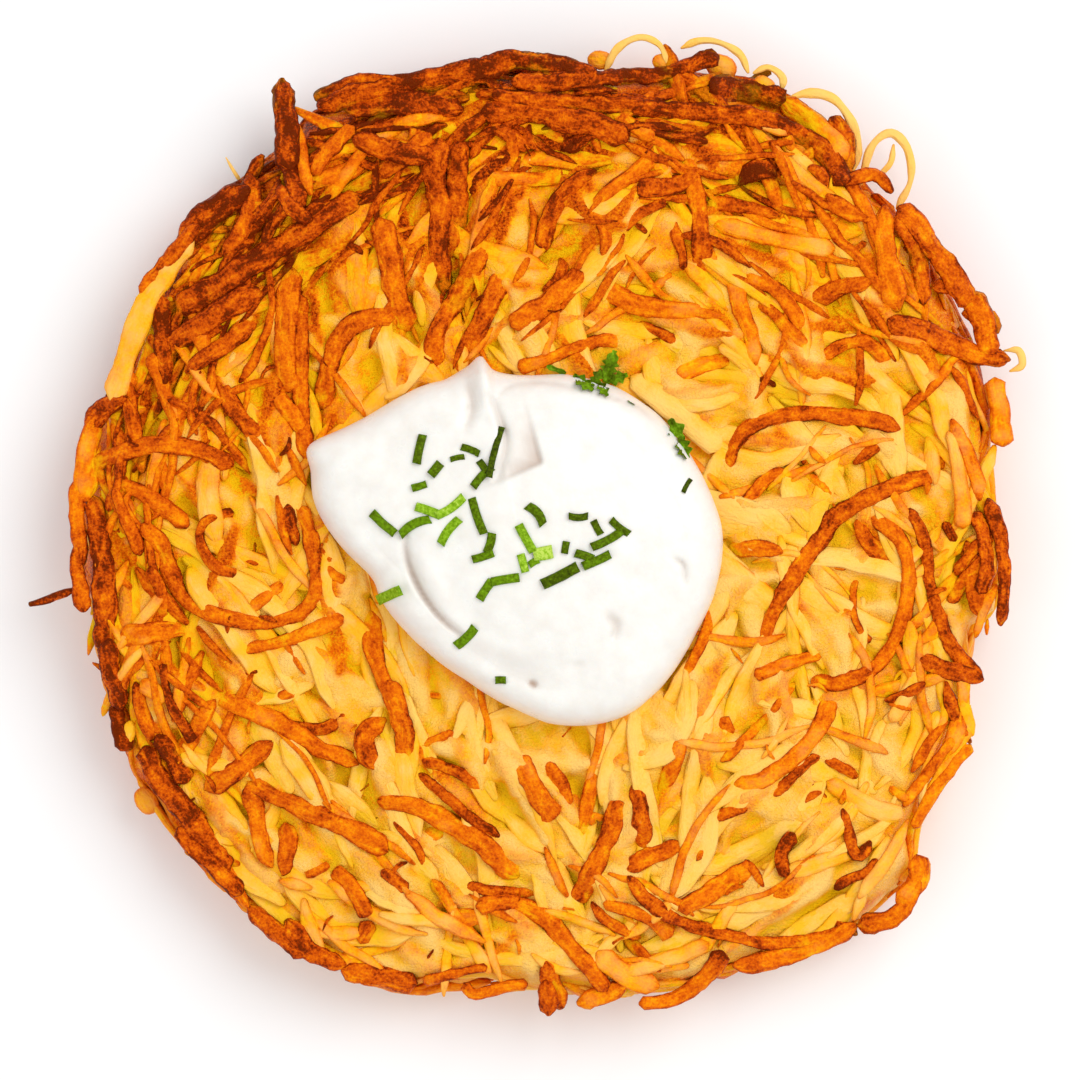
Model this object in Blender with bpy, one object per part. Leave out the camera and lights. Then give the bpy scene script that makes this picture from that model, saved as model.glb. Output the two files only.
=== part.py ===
"""A potato rosti with a spoonful of soured cream on it, in metres, +Z up.

The origin is on the surface that the rosti rests on, under the middle of the cake.
The cake is one bound solid: a flat lumpy disc, with the fried shreds that stand out of it.
The cream is a second solid, which sits in a shallow bed that it presses into the shreds.
"""

import math
import random

import bmesh
import bpy
from mathutils import Vector, noise

MM = 0.001

# The cake.
CAKE_RADIUS = 75.5 * MM
CAKE_THICKNESS = 15.0 * MM
CAKE_SECTORS = 56
LUMP_SIZE = 11.0 * MM
TOP_LUMPS = 1.4 * MM
SIDE_LUMPS = 1.6 * MM
# Where the outline bulges or falls in: bearing and spread in degrees, rise in millimetres.
RIM_LOBES = (
    (24, 13, 2.5),
    (60, 15, 5.0),
    (110, 9, 1.5),
    (158, 14, -1.0),
    (228, 26, 3.0),
    (294, 16, 4.0),
    (313, 9, 7.5),
    (343, 10, -2.0),
)
# The cake's section from its foot to its crown: share of the radius, share of the thickness.
CAKE_SECTION = (
    (0.915, 0.0),
    (0.965, 0.09),
    (0.995, 0.28),
    (1.0, 0.48),
    (0.985, 0.68),
    (0.945, 0.83),
    (0.87, 0.92),
    (0.74, 0.96),
    (0.58, 0.985),
    (0.4, 1.0),
    (0.2, 1.0),
)

# The shreds that stand out on top and at the rim: x and y of the middle, bearing in degrees,
# length, bow of the middle to the left, and width. All but the bearing are in millimetres.
TOP_LEFT_SHREDS = (
    (-42, 69, -86, 16, 0.5, 4.2),
    (-45, 46, -148, 37, 0.1, 4.7),
    (-55, 35, -148, 22, 0.1, 4.3),
    (-56, 52, -139, 18, -0.9, 5.0),
    (-24, 42, -77, 20, -0.1, 4.3),
    (-42, 33, -93, 21, -0.2, 4.0),
    (-40, 22, -87, 26, -0.5, 3.7),
    (-32, 32, -120, 22, -5.2, 3.7),
    (-20, 74, 12, 35, 0.6, 4.3),
    (-17, 52, -88, 26, -0.4, 4.3),
    (-12, 38, -109, 25, 0.9, 4.3),
)
TOP_RIGHT_SHREDS = (
    (12, 74, 6, 33, -3.1, 3.9),
    (10, 68.5, -5, 45, 0.6, 5.0),
    (3, 64, -12, 25, 1.8, 4.7),
    (18, 58, -147, 23, 0.2, 3.5),
    (3, 52, -125, 17, -1.3, 3.7),
    (19, 36, -15, 19, -1.6, 3.6),
    (28, 52, -91, 21, 0.7, 3.7),
    (38, 65, -26, 28, 5.5, 4.4),
    (51, 62, -81, 14, 1.9, 4.0),
    (35, 73, -3, 14, 1.7, 4.7),
    (57, 45, -80, 18, -0.9, 4.3),
    (63, 46, -73, 16, 1.7, 3.6),
    (34, 35, -75, 16, 0.3, 3.5),
    (22, 21, -34, 15, 0.0, 3.4),
    (68, 31, -16, 24, -0.9, 4.2),
    (36, 20, 29, 16, 3.9, 3.3),
    (52, 18, -13, 16, 0.0, 3.3),
    (35, 6, 49, 13, 0.2, 3.5),
    (60, 9, 20, 15, 1.1, 3.5),
    (71, 12, -70, 15, 0.4, 3.2),
)
LEFT_SHREDS = (
    (-64, 15, 1, 25, 5.4, 3.6),
    (-61, -13, -40, 23, -5.3, 3.6),
    (-37, -15, 52, 16, -8.4, 3.6),
    (-63, -17, 14, 14, -0.2, 3.8),
    (-72, -7, -84, 27, 1.0, 5.0),
    (-68, -5, -88, 23, 0.9, 4.3),
    (-71, -24, -80, 13, -0.4, 4.2),
    (-79, -10, 20, 13, -0.2, 2.4),
    (-27, -22, -74, 18, -1.4, 3.6),
    (-42, -32, -25, 27, 1.3, 3.8),
    (-61, -46, -53, 25, -1.1, 5.7),
    (-50, -41, 31, 14, -0.1, 4.0),
    (-36, -48, -24, 27, -0.3, 3.8),
    (-56, -55, -44, 14, 0.1, 4.0),
)
BOTTOM_SHREDS = (
    (-44, -65, -40, 14, -0.6, 4.4),
    (-37, -69, -40, 14, -2.0, 4.4),
    (-27, -75, -11, 14, -0.1, 4.4),
    (-31, -60, -56, 9, 1.1, 3.7),
    (-23, -33, -78, 14, 0.9, 4.0),
    (-17, -47, -26, 29, 4.2, 4.2),
    (-1, -43, -62, 12, -0.4, 4.2),
    (11, -54, -113, 18, 1.5, 3.8),
    (20, -55, -155, 11, -0.2, 3.4),
    (-3, -64, -23, 18, 3.7, 3.8),
    (8, -74, -50, 13, 0.5, 4.2),
    (2, -75, -72, 12, -0.3, 4.4),
    (25, -77, 31, 19, -3.7, 3.6),
    (29, -61, 27, 14, -0.9, 4.0),
)
RIGHT_SHREDS = (
    (42, -4, 57, 30, 4.6, 3.6),
    (61, -9, -90, 22, 4.3, 3.4),
    (52, -25, -153, 13, 2.8, 3.4),
    (68, -21, -57, 15, -2.4, 3.4),
    (41, -24, 15, 11, -0.1, 3.5),
    (75, -5, -86, 21, 1.1, 4.7),
    (43, -38, -137, 22, 2.8, 4.0),
    (66, -33, -112, 18, 1.7, 4.3),
    (37, -68, -5, 29, -2.5, 3.6),
    (58, -61, 42, 16, -2.8, 4.0),
)
SHREDS = TOP_LEFT_SHREDS + TOP_RIGHT_SHREDS + LEFT_SHREDS + BOTTOM_SHREDS + RIGHT_SHREDS

SHRED_SIDES = 5
SHRED_FLATNESS = 0.6  # thickness over width
SHRED_SUNK = 0.36  # share of a shred's thickness below the surface that carries it
SHRED_STEP = 17.0 * MM  # a shred has a stretch more for each of these in its length
BOW_STEP = 4.0  # and one more for each of these millimetres in its bow
TIP_WIDTH = 0.5  # share of the width that is left at a shred's ends
OVERHANG_DROP = 0.18  # how far a tip outside the rim hangs, as a share of its reach

# The shorter shreds that run round the side of the cake, laid by a seeded rule.
SIDE_SHREDS = 22
SIDE_LENGTH = (12.0 * MM, 22.0 * MM)
SIDE_WIDTH = (3.4 * MM, 4.4 * MM)
SIDE_HEIGHT = (0.25, 0.72)  # share of the thickness
SIDE_SUNK = 0.1  # share of the width
SIDE_STEPS = 3
SEED = 7

# The cream.
GAP = 0.3 * MM
CREAM_SEAT = 14.0 * MM
CREAM_CENTRE = Vector((-3.0, -3.5)) * MM
CREAM_SECTORS = 42
CREAM_EDGE_SHARE = 0.3  # share of the radius that the rounded edge takes
CREAM_EDGE_RISE = 6.2 * MM  # from the widest level up to the shoulder
CREAM_FOOT = 2.9 * MM  # from the seat up to the widest level
CREAM_CROWN = 3.0 * MM  # from the shoulder up to the middle
CREAM_EDGE_STEPS = 5
CREAM_FOOT_SHARE = 0.95  # share of the outline where the cream meets the shreds
CREAM_TOP_RINGS = (0.6, 0.48, 0.36, 0.23, 0.11)
CREAM_OUTLINE = (  # x and y in millimetres
    (-39, 15),
    (-24, 22.5),
    (-15.5, 26),
    (-10, 29.5),
    (-6.5, 26.5),
    (4, 26.5),
    (14, 24),
    (23, 17),
    (29, 8),
    (31, -4),
    (29, -17),
    (22.5, -26.5),
    (12, -32),
    (0, -31.5),
    (-11, -26),
    (-20, -18.5),
    (-27, -9),
    (-34, -2),
    (-39.5, 6),
)
# The spoon's swirl: a round mound inside a groove that is deepest on its left.
SWIRL_CENTRE = Vector((-2.5, -5.0)) * MM
SWIRL_RADIUS = 20.0 * MM
SWIRL_RISE = 1.6 * MM
GROOVE_DEPTH = 1.8 * MM
GROOVE_WIDTH = 1.9 * MM
GROOVE_BEARING = math.radians(205)
# The tuck where the spoon lifted off, and the peak that it pulled up at the edge.
TUCK_CENTRE = Vector((-2.5, 13.5)) * MM
TUCK_DEPTH = 2.6 * MM
TUCK_WIDTH = 4.5 * MM
PEAK_CENTRE = Vector((-9.5, 26.0)) * MM
PEAK_RISE = 2.2 * MM
PEAK_WIDTH = 4.0 * MM


def clear_scene():
    for obj in list(bpy.data.objects):
        bpy.data.objects.remove(obj)


def material(name, colour, roughness):
    made = bpy.data.materials.new(name)
    made.use_nodes = True
    shader = made.node_tree.nodes["Principled BSDF"]
    shader.inputs["Base Color"].default_value = (*colour, 1.0)
    shader.inputs["Roughness"].default_value = roughness
    shader.inputs["Metallic"].default_value = 0.0
    return made


def mesh_object(name, rings, first_cap, last_cap):
    """A closed skin through rings of points, each capped by one point, or by one flat face for None."""
    mesh = bmesh.new()
    loops = [[mesh.verts.new(point) for point in ring] for ring in rings]
    for low, high in zip(loops, loops[1:]):
        for i in range(len(low)):
            j = (i + 1) % len(low)
            mesh.faces.new((low[i], low[j], high[j], high[i]))
    for loop, cap in ((loops[0][::-1], first_cap), (loops[-1], last_cap)):
        if cap is None:
            mesh.faces.new(loop)
            continue
        tip = mesh.verts.new(cap)
        for i in range(len(loop)):
            mesh.faces.new((loop[i], loop[(i + 1) % len(loop)], tip))
    bmesh.ops.triangulate(mesh, faces=mesh.faces)
    data = bpy.data.meshes.new(name)
    mesh.to_mesh(data)
    mesh.free()
    data.shade_smooth()
    made = bpy.data.objects.new(name, data)
    bpy.context.scene.collection.objects.link(made)
    return made


def rim_radius(bearing):
    """The cake's radius at a bearing in radians."""
    radius = CAKE_RADIUS
    for lobe, spread, rise in RIM_LOBES:
        away = (math.degrees(bearing) - lobe + 180) % 360 - 180
        radius += rise * MM * math.exp(-((away / spread) ** 2))
    return radius


def section_height(share):
    """Height of the cake's top at a share of its radius. Outside the rim it stays level."""
    top = [(radius, height) for radius, height in CAKE_SECTION if height > 0.5]
    for (outer, low), (inner, high) in zip(top, top[1:]):
        if share >= inner:
            along = min(max((outer - share) / (outer - inner), 0), 1)
            return CAKE_THICKNESS * (low + (high - low) * along)
    return CAKE_THICKNESS


def lump(point):
    """Unevenness of the cake at a point, from -1 to 1."""
    return noise.noise(Vector(point) / LUMP_SIZE)


def surface_height(x, y):
    share = math.hypot(x, y) / rim_radius(math.atan2(y, x))
    return section_height(share) + TOP_LUMPS * lump((x, y, CAKE_THICKNESS))


def make_cake():
    rings = []
    for share, height in CAKE_SECTION:
        ring = []
        for i in range(CAKE_SECTORS):
            bearing = 2 * math.pi * i / CAKE_SECTORS
            out = Vector((math.cos(bearing), math.sin(bearing)))
            spot = out * rim_radius(bearing) * share
            level = height * CAKE_THICKNESS
            if height < 0.5:
                spot += out * lump((*spot, level)) * SIDE_LUMPS
            else:
                level += lump((*spot, level)) * TOP_LUMPS
            ring.append((*spot, level))
        rings.append(ring)
    return mesh_object("rosti", rings, None, (0, 0, CAKE_THICKNESS))


def sweep(name, spine, width):
    """A shred: a flattened tube along the spine, narrower at its ends."""
    rings = []
    steps = len(spine) - 1
    for i, point in enumerate(spine):
        ahead = spine[min(i + 1, steps)] - spine[max(i - 1, 0)]
        side = Vector((-ahead.y, ahead.x, 0)).normalized()
        up = ahead.cross(side).normalized()
        full = 1 - (1 - TIP_WIDTH) * abs(math.cos(math.pi * i / steps)) ** 4
        ring = []
        for k in range(SHRED_SIDES):
            turn = 2 * math.pi * k / SHRED_SIDES + math.pi / 2
            across = side * math.cos(turn) * full * width / 2
            ring.append(point + across + up * math.sin(turn) * full * width / 2 * SHRED_FLATNESS)
        rings.append(ring)
    return mesh_object(name, rings, None, None)


def bowed(middle, bearing, length, bow, steps):
    """Points of a parabola whose middle lies bow to the left of its chord."""
    along = Vector((math.cos(bearing), math.sin(bearing)))
    left = Vector((-along.y, along.x))
    points = []
    for i in range(steps + 1):
        share = -math.cos(math.pi * i / steps)
        points.append(middle + along * share * length / 2 - left * bow * share**2)
    return points


def lay_on_top(name, x, y, degrees, length, bow, width):
    """A shred of the table, half sunk in the cake's top."""
    steps = 2 + round(length * MM / SHRED_STEP + abs(bow) / BOW_STEP)
    flat = bowed(Vector((x, y)) * MM, math.radians(degrees), length * MM, bow * MM, steps)
    thickness = width * MM * SHRED_FLATNESS
    spine = []
    for spot in flat:
        beyond = max(0, spot.length - rim_radius(math.atan2(spot.y, spot.x)))
        level = surface_height(*spot) + (0.5 - SHRED_SUNK) * thickness - OVERHANG_DROP * beyond
        spine.append(Vector((*spot, level)))
    return sweep(name, spine, width * MM)


def lay_on_side(name, rng, index):
    """A shred that runs round the side of the cake, rising or falling a little."""
    bearing = 2 * math.pi * (index + rng.uniform(-0.3, 0.3)) / SIDE_SHREDS
    length = rng.uniform(*SIDE_LENGTH)
    width = rng.uniform(*SIDE_WIDTH)
    middle = rng.uniform(*SIDE_HEIGHT) * CAKE_THICKNESS
    slope = rng.uniform(-0.2, 0.2)
    spine = []
    for i in range(SIDE_STEPS + 1):
        away = -math.cos(math.pi * i / SIDE_STEPS) * length / 2
        turned = bearing + away / CAKE_RADIUS
        radius = rim_radius(turned) - width * SIDE_SUNK
        level = middle + slope * away
        spine.append(Vector((radius * math.cos(turned), radius * math.sin(turned), level)))
    return sweep(name, spine, width)


def cream_outline(turn):
    """Point of the cream's edge for a turn from 0 to 1: a closed Catmull-Rom curve."""
    count = len(CREAM_OUTLINE)
    at = turn * count
    first = int(at)
    t = at - first
    before, start, end, after = (
        Vector(CREAM_OUTLINE[(first + k) % count]) * MM for k in (-1, 0, 1, 2)
    )
    bend = (end - before) * t + (2 * before - 5 * start + 4 * end - after) * t**2
    return start + (bend + (3 * start - before - 3 * end + after) * t**3) / 2


def bell(distance, width):
    return math.exp(-((distance / width) ** 2))


def swirl(spot):
    """What the spoon did to the cream's top at a point, up or down."""
    around = spot - SWIRL_CENTRE
    beyond = around.length - SWIRL_RADIUS
    facing = math.cos(math.atan2(around.y, around.x) - GROOVE_BEARING)
    rise = SWIRL_RISE / (1 + math.exp(beyond / (0.4 * GROOVE_WIDTH)))
    rise -= GROOVE_DEPTH * bell(beyond, GROOVE_WIDTH) * max(0, 0.35 + 0.65 * facing)
    rise -= TUCK_DEPTH * bell((spot - TUCK_CENTRE).length, TUCK_WIDTH)
    rise += PEAK_RISE * bell((spot - PEAK_CENTRE).length, PEAK_WIDTH)
    return rise


def cream_reach(sector, share):
    """From the cream's centre to its outline, evened out over more neighbours near the centre."""
    spread = round(5 * (1 - share))
    near = [cream_outline((sector + k) % CREAM_SECTORS / CREAM_SECTORS) for k in range(-spread, spread + 1)]
    return sum(near, Vector((0, 0))) / len(near) - CREAM_CENTRE


def cream_ring(share, level, swollen):
    """A ring of the cream at a share of its outline, grown outwards by swollen."""
    ring = []
    for i in range(CREAM_SECTORS):
        reach = cream_reach(i, share)
        spot = CREAM_CENTRE + reach * share + reach.normalized() * swollen
        fade = min(1, max(0, (1 - share) / CREAM_EDGE_SHARE))
        ring.append((*spot, level + fade * swirl(spot)))
    return ring[::-1]


def make_cream(name, swollen):
    """The spoonful of cream. A swollen copy of it is the cutter for its bed in the cake."""
    waist = CREAM_SEAT + GAP + CREAM_FOOT
    inner = 1 - CREAM_EDGE_SHARE
    rings = [cream_ring(CREAM_FOOT_SHARE, CREAM_SEAT + GAP - swollen, swollen)]
    for i in range(CREAM_EDGE_STEPS + 1):
        turn = math.pi / 2 * i / CREAM_EDGE_STEPS
        level = waist + (CREAM_EDGE_RISE + swollen) * math.sin(turn)
        rings.append(cream_ring(inner + CREAM_EDGE_SHARE * math.cos(turn), level, swollen))
    shoulder = waist + CREAM_EDGE_RISE + swollen
    for share in CREAM_TOP_RINGS:
        crown = CREAM_CROWN * (1 - (share / inner) ** 2)
        rings.append(cream_ring(share, shoulder + crown, 0))
    crest = shoulder + CREAM_CROWN + swirl(CREAM_CENTRE)
    return mesh_object(name, rings, None, (*CREAM_CENTRE, crest))


def helper(obj, collection):
    """Marks an object as a tool of a Boolean, which is no part of the food."""
    obj.hide_render = True
    obj.display_type = "WIRE"
    bpy.context.scene.collection.objects.unlink(obj)
    collection.objects.link(obj)


def collection_of_helpers(name):
    made = bpy.data.collections.new(name)
    bpy.context.scene.collection.children.link(made)
    return made


def boolean(target, name, operation, collection):
    modifier = target.modifiers.new(name, "BOOLEAN")
    modifier.operation = operation
    modifier.operand_type = "COLLECTION"
    modifier.collection = collection
    modifier.solver = "EXACT"


def make_rosti():
    rosti = make_cake()
    shreds = collection_of_helpers("shreds")
    for i, row in enumerate(SHREDS):
        helper(lay_on_top(f"top_shred_{i:02d}", *row), shreds)
    rng = random.Random(SEED)
    for i in range(SIDE_SHREDS):
        helper(lay_on_side(f"side_shred_{i:02d}", rng, i), shreds)
    bed = collection_of_helpers("bed")
    helper(make_cream("cream_bed", GAP), bed)
    boolean(rosti, "join_shreds", "UNION", shreds)
    boolean(rosti, "press_bed", "DIFFERENCE", bed)
    return rosti


def main():
    clear_scene()
    rosti = make_rosti()
    cream = make_cream("cream", 0)
    rosti.data.materials.append(material("fried_potato", (0.72, 0.3, 0.045), 0.55))
    cream.data.materials.append(material("soured_cream", (0.93, 0.91, 0.86), 0.35))


main()
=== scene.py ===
"""Looks of the potato rosti: the fried shreds laid one on another, the soured cream and its herbs.

Lengths inside this script are in millimetres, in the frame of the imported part, until a mesh is made.
"""

import math

import bpy
import numpy as np
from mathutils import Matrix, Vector
from mathutils.bvhtree import BVHTree


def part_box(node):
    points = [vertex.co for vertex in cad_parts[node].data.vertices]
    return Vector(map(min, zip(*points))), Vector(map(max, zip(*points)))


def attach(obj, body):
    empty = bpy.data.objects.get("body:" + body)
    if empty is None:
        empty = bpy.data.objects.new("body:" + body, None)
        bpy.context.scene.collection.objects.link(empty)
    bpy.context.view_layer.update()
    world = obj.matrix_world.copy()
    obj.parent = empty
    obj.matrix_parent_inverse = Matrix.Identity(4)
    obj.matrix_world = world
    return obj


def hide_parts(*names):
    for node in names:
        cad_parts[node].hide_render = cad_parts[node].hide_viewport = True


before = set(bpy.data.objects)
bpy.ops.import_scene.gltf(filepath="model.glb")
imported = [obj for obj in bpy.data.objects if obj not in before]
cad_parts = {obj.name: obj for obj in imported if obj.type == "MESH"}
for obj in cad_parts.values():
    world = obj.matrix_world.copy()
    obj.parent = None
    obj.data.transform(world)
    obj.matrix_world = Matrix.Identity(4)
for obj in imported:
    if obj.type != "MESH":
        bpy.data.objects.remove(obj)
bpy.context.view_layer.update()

MM = 0.001
SEED = 20

# Square grids over the cake: the heap's upper surface, and the rays that read the solid's top.
CELL = 0.4
COARSE_CELL = 2.0
HALF = 92.0
OUTSIDE = -50.0  # height of a cell with nothing in it
HASHES = (73856093, 19349663, 83492791)  # large primes that mix a cell's three indices
FIBRE_STRETCH = 0.14  # the grain across a shred over its grain along it
RAY_START = 120.0  # how far out a ray at the solid starts

# The fused body of the cake.
CORE_INSET = 2.4  # how far the heap's first surface lies under the solid's top
CORE_LOWEST = 9.5
SIDE_INSET = 1.1  # how far the wall stands in from the solid's side
RIM_INSET = 0.5  # the same at the top of the wall
RIM_ROUND = 3.5  # radius of the edge between the wall and the top
WALL_TOP = 9.3
SIDE_RADIUS = 78.0  # about the radius of the wall, to turn lengths round it into angles
SIDE_ROWS = 25
SIDE_COUNT = 420  # shreds pressed into the wall
REACH_LEVELS = (3, 5, 7, 9, 11)  # where the solid's side is measured
REACH_BEARINGS = 144
BED_SECTORS = 720
BED_ROWS = 106
UNDER_CREAM_RINGS = (0.8, 0.55, 0.3, 0.1)
EVEN_SPREAD = 2.6  # over which the surface is evened out, to tell hollows from crests
MELT_SPREAD = 0.3  # over which starch and fat run its shreds together
DEEPEST_GAP = 1.2  # under the evened-out surface

# Single shreds.
CRISP_SIDES = 18
HELD_RADIUS = 66  # the prominent shreds whose middle lies farther out don't dive in at their ends
TURNING_RADIUS = 62  # farther out, shreds begin to run round the cake
DROOP = 0.18  # how far a shred sinks for each millimetre past the rim
PATH_STEP = 0.9  # about how far apart a path's points are
TIP_RINGS = (0, 0.05, 0.2, 0.5)  # rings of a rounded end, as shares of its reach
BROWNEST = math.radians(120)  # bearing of the side that the frying browned most

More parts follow.
